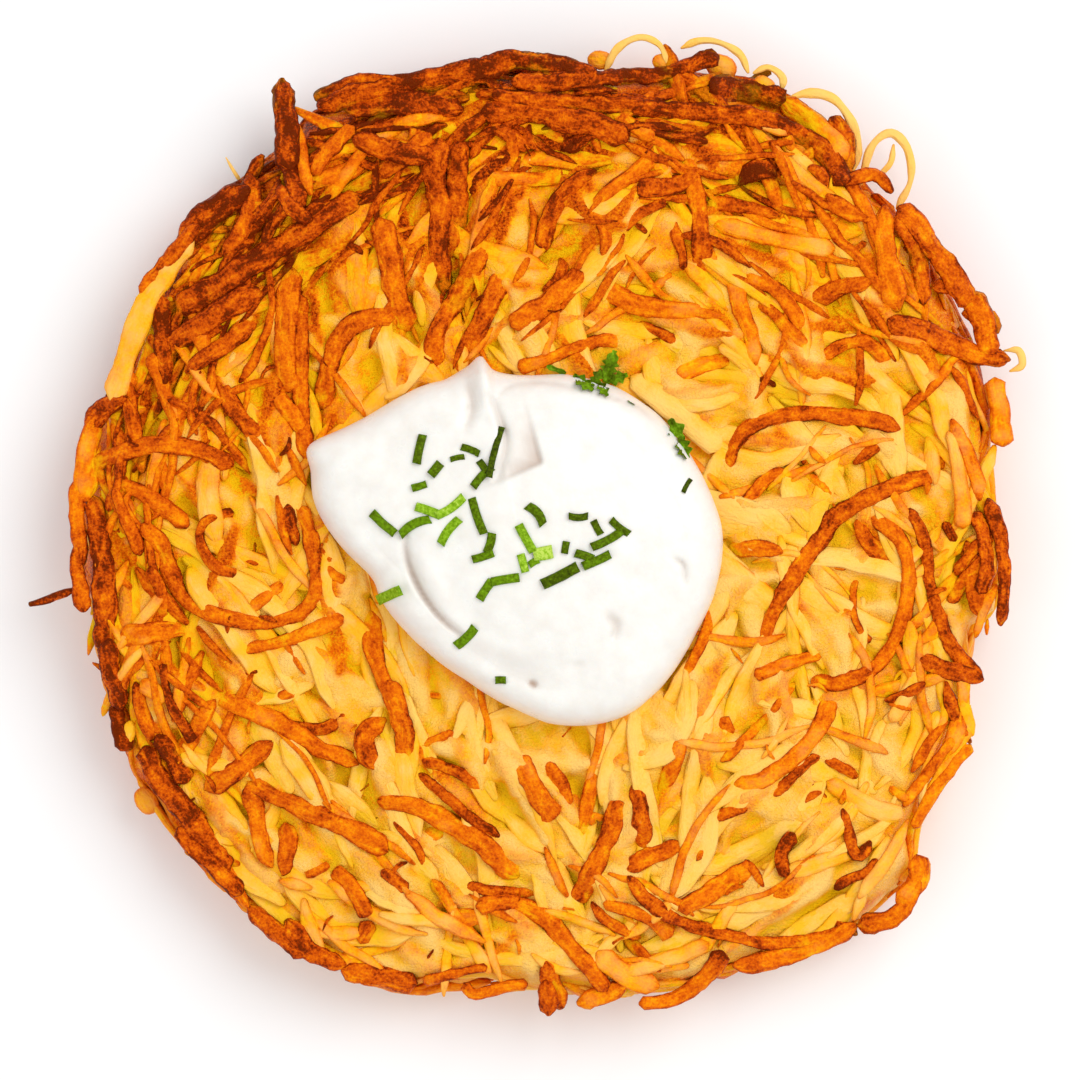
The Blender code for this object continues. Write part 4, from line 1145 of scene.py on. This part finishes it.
def make_cream(material):
    """The spoonful of cream: its top, its rounded edge, and a foot that has run in between the shreds."""
    bearings = -2 * np.pi * np.arange(CREAM_SECTORS) / CREAM_SECTORS
    out = np.stack([np.cos(bearings), np.sin(bearings)], -1)
    edge = cream_radius(bearings)
    blunt = np.minimum(edge, blur_line(np.tile(edge, 3), 6)[CREAM_SECTORS : 2 * CREAM_SECTORS]) - edge

    def ring(share, ease):
        return CREAM_CENTRE + out * ((edge + ease * blunt) * share)[:, None]

    rows = []
    for share, rise, ease in CREAM_FOOT_ROWS:
        rows.append(np.column_stack([ring(share, ease), np.full(CREAM_SECTORS, CREAM_FOOT + rise)]))
    inner = 1 - CREAM_EDGE_SHARE
    lean = np.linspace(0, np.pi / 2, CREAM_EDGE_ROWS + 1)[:-1]
    top = np.linspace(inner, 0.015, CREAM_TOP_ROWS)
    for share in (*(inner + CREAM_EDGE_SHARE * np.cos(lean)), *top):
        spot = ring(min(share, 0.9999), smooth_step(1 - share, 0, CREAM_EDGE_SHARE))
        rows.append(np.column_stack([spot, cream_height(spot)]))
    points = np.concatenate(rows)
    rim = np.clip(1 - (points[:, 2] - CREAM_FOOT) / 7, 0, 1)[:, None]
    flow = np.tile(out, (len(rows), 1))
    points[:, :2] += flow * rim * (0.7 * noise(points, 6.0, 43) + 0.25 * noise(points, 2.5, 44))[:, None]
    middle = np.array([[*CREAM_CENTRE, CREAM_FOOT], [*CREAM_CENTRE, cream_height(CREAM_CENTRE)]])
    points = np.concatenate([points, middle])
    quads, tris = tube_faces(len(rows), CREAM_SECTORS)
    # Painted shade for the tuck and the grooves, which the material reads.
    values = {"painted_shade": swirl(points[:, :2])[1]}
    return mesh_object("soured_cream", points, quads[:, ::-1], tris[:, ::-1], values, material)


# ---------------------------------------------------------------- chives and other small things

CHIVE_SIDES = 14
CHIVE_WALL = 0.26
CHIVE_LOWEST = 14.0  # no snip rests lower than this
# Snips of chive on the cream: x and y, bearing, length, width, and how bright, from 0 to 1.
SNIPS = (
    (-19.8, 13.3, 78, 4.9, 1.8, 0.3),
    (-17.2, 10, 50, 2.6, 2.0, 0.35),
    (-13.6, 11.8, 13, 2.4, 1.2, 0.3),
    (-11.5, 13.1, -21, 3.2, 1.5, 0.3),
    (-19.9, 7.2, 17, 2.5, 1.6, 0.45),
    (-7.3, 12.8, 76, 8.6, 1.4, 0.15),
    (-9.4, 10.4, -57, 2.4, 1.5, 0.25),
    (-9.4, 8.7, 46, 4.6, 1.7, 0.35),
    (-18.4, 3.1, -20, 4.4, 1.9, 0.75),
    (-14.8, 3.9, 35, 5.5, 1.9, 0.8),
    (-20.5, 0.4, 27, 5.6, 1.9, 0.5),
    (-25.8, 1.1, -42, 5.2, 1.9, 0.45),
    (-14.8, -0.3, 53, 5.2, 1.9, 0.7),
    (-10.2, 2.3, -71, 6.2, 1.8, 0.35),
    (-8.3, -2.1, 75, 3.3, 1.8, 0.4),
    (-9.4, -4.3, 18, 3.7, 1.7, 0.45),
    (-0.8, 2.4, -50, 4.1, 2.0, 0.35),
    (-2.3, -1.4, -61, 5.1, 1.9, 0.7),
    (0.5, -3.8, 10, 3.2, 2.8, 0.95),
    (-2.8, -5.5, -75, 3.1, 1.7, 0.8),
    (-1, -5.4, 30, 1.8, 1.5, 0.6),
    (4.2, -2.9, 80, 2.0, 1.5, 0.3),
    (6.3, 2.3, 0, 3.2, 1.5, 0.2),
    (9.4, 0.4, -62, 2.6, 1.5, 0.25),
    (13.2, 0.5, -38, 3.8, 1.6, 0.3),
    (11, -1.5, 28, 5.7, 1.8, 0.35),
    (7.3, -4.3, -18, 3.2, 1.8, 0.35),
    (9.3, -5, 24, 4.9, 1.9, 0.4),
    (3.3, -7.5, 27, 6.6, 2.3, 0.25),
    (-5.7, -8.2, 9, 4.6, 1.9, 0.5),
    (-8.9, -9.9, 56, 3.8, 1.9, 0.5),
    (-24.9, -10.8, 24, 4.5, 2.2, 0.75),
    (-12.3, -17.6, 45, 4.5, 2.0, 0.5),
    (-6.5, -24.8, 0, 1.8, 1.6, 0.35),
    (24.3, 7.3, 60, 2.6, 1.0, 0.15),
)


def snip_rings(x, y, degrees, length, width):
    """Rings of a snip's outer and inner skin, over the cream: a short squashed tube."""
    along = np.array([*polar(1, math.radians(degrees)), 0])
    side = np.array([-along[1], along[0], 0])
    up = np.array([0, 0, 1])
    share = np.linspace(-1, 1, max(4, int(length / 0.6)))
    ends = np.array([x, y]) + along[:2] * np.array([[-0.5], [0], [0.5]]) * length
    low, level, high = (max(cream_height(end), CHIVE_LOWEST) for end in ends)
    tilt, bend = rng.normal(0, 0.12), rng.normal(0, 0.04) * length
    centre = np.array([x, y, 0]) + along * share[:, None] * length / 2
    centre[:, 2] = level + (high - low) / 2 * share + 0.14 * width + tilt * share * length / 2 * 0.4
    centre += side * (bend * (1 - share**2))[:, None]
    turn = 2 * np.pi * np.arange(CHIVE_SIDES) / CHIVE_SIDES
    squash = (0.72 if width < 1.9 else 0.45) * (1 - 0.22 * bell(np.sin(turn) - 1, 0.5))
    section = side * np.cos(turn)[:, None] + up * (np.sin(turn) * squash)[:, None]
    return [centre[:, None] + section * radius for radius in (width / 2, width / 2 - CHIVE_WALL)]


def make_chives(material):
    """Short lengths of chive, each a tube with a wall, open at both ends."""
    points, faces, values = [], [], []
    count = 0
    a = np.arange(CHIVE_SIDES)
    b = (a + 1) % CHIVE_SIDES
    for x, y, degrees, length, width, bright in SNIPS:
        rings = snip_rings(x, y, degrees, length, width * 0.8)
        layer = len(rings[0]) * CHIVE_SIDES
        inward = tube_faces(len(rings[0]), CHIVE_SIDES, count)[0]
        first, last = count, count + layer - CHIVE_SIDES
        faces += [
            inward[:, [0, 3, 2, 1]],
            inward + layer,
            first + np.stack([a, b, b + layer, a + layer], -1),
            last + np.stack([a, a + layer, b + layer, b], -1),
        ]
        points += [ring.reshape(-1, 3) for ring in rings]
        values += [np.full(layer, bright), np.full(layer, bright * 0.5 + 0.35)]
        count += 2 * layer
    points = np.concatenate(points)
    points += 0.05 * np.stack([noise(points, 1.2, 50 + k) for k in range(3)], -1)
    values = {"bright": np.concatenate(values), "grain": points}
    return mesh_object("chive_snips", points, np.concatenate(faces), (), values, material)


LEAF_THICKNESS = 0.12
LEAF_ROWS, LEAF_COLUMNS = 13, 9
# Small curled leaves at the cream's upper edge: x and y, bearing, length, width, lobes.
LEAVES = (
    (2.7, 26.6, 160, 3.4, 1.6, 1),
    (7.2, 24.4, 140, 4.2, 2.6, 3),
    (9.4, 25.2, 60, 3.2, 2.4, 3),
    (11.6, 27.2, 72, 5.6, 3.4, 5),
    (12.8, 25.2, 20, 3.8, 2.6, 3),
    (10.4, 23.4, -60, 3.0, 2.2, 3),
    (15.4, 21.2, -24, 1.8, 1.0, 1),
    (22.6, 16.6, -58, 4.2, 3.2, 2),
    (23.8, 13.6, -70, 3.8, 3.2, 3),
)


def leaf_faces():
    """Quads of a leaf's upper and lower side, and of the edge between them."""
    i, j = np.meshgrid(np.arange(LEAF_ROWS - 1), np.arange(LEAF_COLUMNS - 1), indexing="ij")
    a = (i * LEAF_COLUMNS + j).ravel()
    layer = LEAF_ROWS * LEAF_COLUMNS
    upper = np.stack([a, a + LEAF_COLUMNS, a + LEAF_COLUMNS + 1, a + 1], -1)
    grid = np.arange(layer).reshape(LEAF_ROWS, LEAF_COLUMNS)
    rim = np.concatenate([grid[:, 0], grid[-1, 1:], grid[-2::-1, -1], grid[0, -2:0:-1]])
    after = np.roll(rim, -1)
    edge = np.stack([after, rim, rim + layer, after + layer], -1)
    return np.concatenate([upper, upper[:, [0, 3, 2, 1]] + layer, edge])


def make_leaves(material):
    """Torn herb leaves: thin crumpled blades with a lobed edge."""
    points, quads, values = [], [], []
    along, across = np.linspace(0, 1, LEAF_ROWS), np.linspace(-1, 1, LEAF_COLUMNS)
    share, over = np.meshgrid(along, across, indexing="ij")
    for k, (x, y, degrees, length, width, lobes) in enumerate(LEAVES):
        half = np.sin(np.pi * np.clip(share, 0.03, 0.97)) ** 0.6
        half *= 0.72 + 0.28 * np.cos(share * lobes * 2 * np.pi)
        ahead, left = (share - 0.5) * length, over * half * width / 2
        cosine, sine = polar(1, math.radians(degrees))
        spot = np.stack([x + ahead * cosine - left * sine, y + ahead * sine + left * cosine], -1)
        cream = np.where(cream_share(spot) < 0.97, cream_height(spot), 0)
        base = np.maximum(cream, heap.at(spot))
        level = 0.4 * base + 0.6 * base.max() + 0.35 + 0.7 * over**2 * half
        level += 0.35 * noise(np.dstack([spot, np.full_like(share, k)]), 1.3, 61)
        top = np.dstack([spot, level]).reshape(-1, 3)
        shade = 0.45 + 0.25 * noise(top, 1.0, 62)
        quads.append(leaf_faces() + 2 * share.size * k)
        points += [top, top - (0, 0, LEAF_THICKNESS)]
        values += [shade, shade]
    points = np.concatenate(points)
    values = {"bright": np.concatenate(values), "grain": points}
    return mesh_object("herb_leaves", points, np.concatenate(quads), (), values, material)


CURL_POINTS = 40
# Thin pale curls of batter and starch at the rim: a path, its height, and its width.
CURLS = (
    (((10.8, 76.5), (13, 80.5), (16.7, 82.3), (20, 81), (21.5, 77.5)), 11.5, 1.5),
    (((40.5, 71), (44, 73), (49, 72.2), (52.4, 67.5), (52.9, 62), (50.6, 58.4)), 10.2, 2.0),
    (((53.6, 57.5), (55.4, 64), (58.6, 66.4), (61.4, 63.8), (62, 58.6), (59.6, 53.6)), 10.6, 1.7),
    (((59.2, 64.6), (58.6, 61.4), (56.4, 59)), 10.2, 1.2),
    (((23.5, 80.6), (26.5, 81.8), (29.8, 81.6), (33.4, 79.6), (34.9, 76.4)), 10.4, 1.7),
    (((35.6, 76.4), (38.2, 77.4), (40.6, 75.6), (40.2, 73)), 10.4, 1.8),
    (((77.5, 30), (80, 30), (80.6, 27.6), (78.5, 26.5)), 10.5, 1.5),
    (((-49.6, 57.6), (-51.2, 60), (-52.6, 62.4)), 10.2, 0.9),
)
# Small smooth golden lumps there: x and y, height, radius.
KNOBS = (
    (10, 78.6, 10.6, 1.9),
    (20.6, 78.2, 10.8, 1.7),
    (30.4, 77.6, 9.8, 2.4),
    (37.6, 74.6, 10.2, 1.7),
    (75.9, 22.5, 9.0, 2.2),
    (-66, -45.4, 8.6, 2.2),
)


def make_curls(material):
    bundle = Bundle()
    for path, level, width in CURLS:
        flat = curve_through(path, CURL_POINTS)
        rise = level + 0.5 * np.sin(np.linspace(0, np.pi, CURL_POINTS))
        vary = width * (0.75 + 0.25 * noise(flat, 2.5, 63))
        bundle.add(np.column_stack([flat, rise]), vary, width * 0.5, 0.02, 10, edges=(0.2, 0.1), sharp=2.0)
    for x, y, level, radius in KNOBS:
        flat = bowed(x, y, math.atan2(y, x) + math.pi / 2, radius * 2.2, 0.2, 0.4)
        spine = np.column_stack([flat, np.full(len(flat), level)])
        bundle.add(spine, radius * 1.7, radius * 1.1, 0.38, 12, blunt=1.2, edges=(0.2, 0.2))
    # A relief of 0.5 gives the curls part of the painted highlight colour of crests.
    return bundle.make("pale_curls", material, relief=0.5)


# ---------------------------------------------------------------- materials


class Nodes:
    """Shorthand for a material's node tree."""

    def __init__(self, name):
        self.material = bpy.data.materials.new(name)
        self.material.use_nodes = True
        self.tree = self.material.node_tree
        self.shader = self.tree.nodes["Principled BSDF"]

    def link(self, source, target):
        self.tree.links.new(source, target)

    def put(self, socket, value):
        """Links a socket to another node's output, or sets it to a constant."""
        if isinstance(value, bpy.types.NodeSocket):
            self.link(value, socket)
        else:
            socket.default_value = value

    def attribute(self, name, vector=False):
        node = self.tree.nodes.new("ShaderNodeAttribute")
        node.attribute_name = name
        return node.outputs["Vector" if vector else "Fac"]

    def noise(self, size, detail=3.0, rough=0.6, vector=None):
        """Noise from 0 to 1 in lumps of size millimetres."""
        node = self.tree.nodes.new("ShaderNodeTexNoise")
        node.inputs["Scale"].default_value = 1 / size / MM
        node.inputs["Detail"].default_value = detail
        node.inputs["Roughness"].default_value = rough
        if vector is None:
            coordinates = self.tree.nodes.new("ShaderNodeTexCoord")
            vector = coordinates.outputs["Object"]
        self.link(vector, node.inputs["Vector"])
        return node.outputs["Fac"]

    def math(self, operation, first, second):
        node = self.tree.nodes.new("ShaderNodeMath")
        node.operation = operation
        self.put(node.inputs[0], first)
        self.put(node.inputs[1], second)
        return node.outputs[0]

    def add(self, first, second):
        return self.math("ADD", first, second)

    def times(self, first, second):
        return self.math("MULTIPLY", first, second)

    def centred(self, value, amount):
        """A value from 0 to 1 as up to half the amount up or down."""
        return self.times(self.math("SUBTRACT", value, 0.5), amount)

    def span(self, value, low, high, new_low=0.0, new_high=1.0):
        """The value with low to high spread over new_low to new_high, and held at either end."""
        node = self.tree.nodes.new("ShaderNodeMapRange")
        self.put(node.inputs["Value"], value)
        for key, number in (("From Min", low), ("From Max", high), ("To Min", new_low), ("To Max", new_high)):
            node.inputs[key].default_value = number
        return node.outputs["Result"]

    def ramp(self, value, stops):
        node = self.tree.nodes.new("ShaderNodeValToRGB")
        ramp = node.color_ramp
        while len(ramp.elements) < len(stops):
            ramp.elements.new(0.5)
        for element, (place, colour) in zip(ramp.elements, stops):
            element.position = place
            element.color = (*linear(colour), 1)
        self.put(node.inputs["Fac"], value)
        return node.outputs["Color"]

    def mix(self, share, first, second, blend="MIX"):
        node = self.tree.nodes.new("ShaderNodeMix")
        node.data_type = "RGBA"
        node.blend_type = blend
        self.put(node.inputs["Factor"], share)
        for key, colour in (("A", first), ("B", second)):
            if isinstance(colour, tuple):
                colour = (*linear(colour), 1)
            self.put([i for i in node.inputs if i.name == key and i.type == "RGBA"][0], colour)
        return [o for o in node.outputs if o.type == "RGBA"][0]

    def bump(self, height, distance, strength=1.0):
        node = self.tree.nodes.new("ShaderNodeBump")
        node.inputs["Distance"].default_value = distance * MM
        node.inputs["Strength"].default_value = strength
        self.link(height, node.inputs["Height"])
        return node.outputs["Normal"]

    def fibres(self, grain):
        """Coordinates stretched along a shred, in metres."""
        node = self.tree.nodes.new("ShaderNodeVectorMath")
        node.operation = "MULTIPLY"
        self.link(grain, node.inputs[0])
        node.inputs[1].default_value = (FIBRE_STRETCH * MM, 1.0 * MM, 1.0 * MM)
        return node.outputs[0]

    def finish(self, **values):
        for key, value in values.items():
            self.put(self.shader.inputs[key.replace("_", " ")], value)
        return self.material


def linear(colour):
    """A screen colour from 0 to 255 as scene-linear light."""
    share = np.asarray(colour, float) / 255
    return tuple(np.where(share <= 0.04045, share / 12.92, ((share + 0.055) / 1.055) ** 2.4))


# The crust's colour, from palest to brownest; the painted highlight put on its crests; and the tint of its
# hollows, partly the paler inside of the cake and partly painted shade.
CRUST = (
    (0.0, (255, 202, 96)),
    (0.12, (255, 188, 56)),
    (0.27, (255, 178, 26)),
    (0.41, (252, 152, 8)),
    (0.54, (242, 124, 6)),
    (0.66, (226, 98, 6)),
    (0.78, (200, 72, 5)),
    (0.90, (152, 40, 2)),
    (1.0, (104, 18, 1)),
)
PAINTED_HIGHLIGHT = (255, 205, 116)
HOLLOW_INSIDE_AND_SHADE = (240, 188, 8)
# A herb's colour, from darkest to brightest.
HERB = (
    (0.0, (30, 42, 1)),
    (0.3, (72, 92, 2)),
    (0.6, (104, 144, 10)),
    (0.85, (146, 190, 40)),
    (1.0, (190, 216, 92)),
)


def potato_material(name):
    """Fried potato: golden inside the heap, browner and grainier where it crisped, a little oily, with
    painted highlights on pale crests and a partly painted shade tint in the hollows.
    """
    n = Nodes(name)
    brown = n.attribute("brown")
    relief = n.attribute("relief")
    fine = n.noise(0.45, 2.0, 0.65)
    blotch = n.noise(1.6, 3.0, 0.65)
    hue = n.noise(3.2, 3.0, 0.6)
    strands = n.noise(0.42, 2.0, 0.6, vector=n.fibres(n.attribute("grain", vector=True)))
    crisp = n.span(brown, 0.25, 0.95, 0.36, 1.4)
    crust = n.times(n.add(n.centred(fine, 0.6), n.centred(strands, 0.75)), crisp)
    colour = n.ramp(n.add(n.add(brown, crust), n.centred(blotch, 0.5)), CRUST)
    wavy = n.add(n.times(hue, 3.0), n.times(strands, 1.8))
    height = n.add(relief, n.math("SUBTRACT", wavy, 2.4))
    # Painted highlight: pale crests, found from the relief, are mixed towards a pale peach.
    painted_highlight_share = n.times(n.span(height, -0.1, 0.9, 0.0, 0.8), n.span(brown, 0.22, 0.55, 1.0, 0.0))
    colour = n.mix(painted_highlight_share, colour, PAINTED_HIGHLIGHT)
    # Hollows are mixed towards olive yellow: partly the paler inside of the cake, partly painted shade.
    inside_and_shade = n.times(n.span(height, -0.2, -0.8, 0.0, 0.85), n.span(brown, 0.5, 0.75, 1.0, 0.2))
    colour = n.mix(inside_and_shade, colour, HOLLOW_INSIDE_AND_SHADE)
    surface = n.add(n.times(fine, crisp), n.times(strands, 1.1))
    return n.finish(
        Base_Color=colour,
        Roughness=n.add(n.span(blotch, 0.3, 0.7, 0.28, 0.46), n.span(brown, 0.3, 0.9, 0.0, 0.1)),
        Normal=n.bump(surface, 0.34),
        Specular_IOR_Level=0.4,
        Specular_Tint=(1.0, 0.5, 0.04, 1.0),
    )


def cream_material():
    n = Nodes("soured_cream")
    soft = n.noise(3.0, 3.0, 0.5)
    fine = n.noise(0.7, 2.0, 0.5)
    colour = n.mix(n.span(soft, 0.35, 0.7), (242, 240, 234), (236, 232, 225))
    # Painted shade: the colour is mixed towards a warm beige in the tuck and the grooves.
    colour = n.mix(n.attribute("painted_shade"), colour, (176, 142, 118))
    return n.finish(
        Base_Color=colour,
        Roughness=n.span(soft, 0.3, 0.7, 0.26, 0.4),
        Normal=n.bump(n.add(soft, n.times(fine, 0.15)), 0.25, 0.5),
        Subsurface_Weight=0.2,
        Subsurface_Radius=(1.0, 0.8, 0.6),
        Subsurface_Scale=1.2 * MM,
        Specular_IOR_Level=0.45,
    )


def herb_material(name):
    n = Nodes(name)
    streak = n.noise(0.5, 3.0, 0.6)
    return n.finish(
        Base_Color=n.ramp(n.add(n.attribute("bright"), n.centred(streak, 1.0)), HERB),
        Roughness=0.45,
        Normal=n.bump(streak, 0.12, 0.8),
        Specular_IOR_Level=0.2,
        Specular_Tint=(0.9, 1.0, 0.2, 1.0),
    )


def floor_material():
    n = Nodes("floor")
    soft = n.noise(40.0, 2.0, 0.5)
    return n.finish(Base_Color=n.mix(soft, (250, 250, 250), (246, 246, 246)), Roughness=0.9)


# ---------------------------------------------------------------- put together

potato = potato_material("fried_potato")

ribbons, prominent, tangle, around_rim, under, crumbs = (Bundle() for _ in range(6))
lay_field(6.8, (16, 30), (3.6, 6.0), 40, 0.0, 0.6)
lay_field(6.8, (14, 28), (3.4, 5.6), 34, -0.04, 0.5)
lay_field(9.5, (7, 20), (1.8, 3.4), 34, 0.22, 0.45)
heap.fuse()
lay_ribbons(ribbons, 8.8)
lay_tangle(tangle, 170)
lay_strings(tangle, 150)
lay_prominent(prominent)
lay_crumbs(crumbs, 60)
lay_sides(around_rim, 280)
lay_underside(under)
heap.settle()

bed = make_bed(potato)
cake_pieces = [
    bed,
    ribbons.make("bed_shreds", potato),
    tangle.make("rim_tangle", potato),
    prominent.make("crisp_shreds", potato),
    around_rim.make("side_shreds", potato, relief=0.0),
    under.make("underside_shreds", potato, relief=0.0),
    crumbs.make("crumbs", potato),
    make_curls(potato),
]
cream = make_cream(cream_material())
cream_pieces = [cream, make_chives(herb_material("chive")), make_leaves(herb_material("herb_leaf"))]
for slot_name, pieces in (("rosti", cake_pieces), ("cream", cream_pieces)):
    for piece in pieces:
        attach(piece, "root")
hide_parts("rosti")
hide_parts("cream")

# ---------------------------------------------------------------- floor, light and camera

FLOOR_LEVEL = -0.05
FLOOR_HALF = 3000

# In metres.
LIT_POINT = Vector((0, 0, 0.01))
CAMERA_HEIGHT = 0.9  # over the top of the cake
FIELD = 0.180  # width of the view there
VIEW_TOP = 0.014
VIEW_Y = -0.0016667  # where the photograph's middle lies

corners = [(x * FLOOR_HALF, y * FLOOR_HALF, FLOOR_LEVEL) for x, y in ((-1, -1), (1, -1), (1, 1), (-1, 1))]
floor = mesh_object("floor", corners, [(0, 1, 2, 3)], material=floor_material())


def area_light(name, place, size, power):
    data = bpy.data.lights.new(name, "AREA")
    data.shape = "DISK"
    data.size = size
    data.energy = power
    light = bpy.data.objects.new(name, data)
    light.location = place
    light.rotation_euler = (LIT_POINT - Vector(place)).to_track_quat("-Z", "Y").to_euler()
    bpy.context.scene.collection.objects.link(light)


area_light("key", place=(0.5, 0.35, 0.8), size=0.8, power=4.7)
area_light("fill", place=(-0.6, -0.4, 0.8), size=0.9, power=1.4)

world = bpy.data.worlds.new("studio")
world.use_nodes = True
background = world.node_tree.nodes["Background"]
background.inputs["Color"].default_value = (1.0, 1.0, 1.0, 1)
background.inputs["Strength"].default_value = 0.78
bpy.context.scene.world = world
bpy.context.scene.view_settings.view_transform = "Standard"

camera_data = bpy.data.cameras.new("camera")
camera_data.sensor_width = 36.0
camera_data.clip_start = 0.01
camera_data.lens = camera_data.sensor_width * CAMERA_HEIGHT / FIELD
camera = bpy.data.objects.new("camera", camera_data)
camera.location = (0.0, VIEW_Y, CAMERA_HEIGHT + VIEW_TOP)
bpy.context.scene.collection.objects.link(camera)
bpy.context.scene.camera = camera
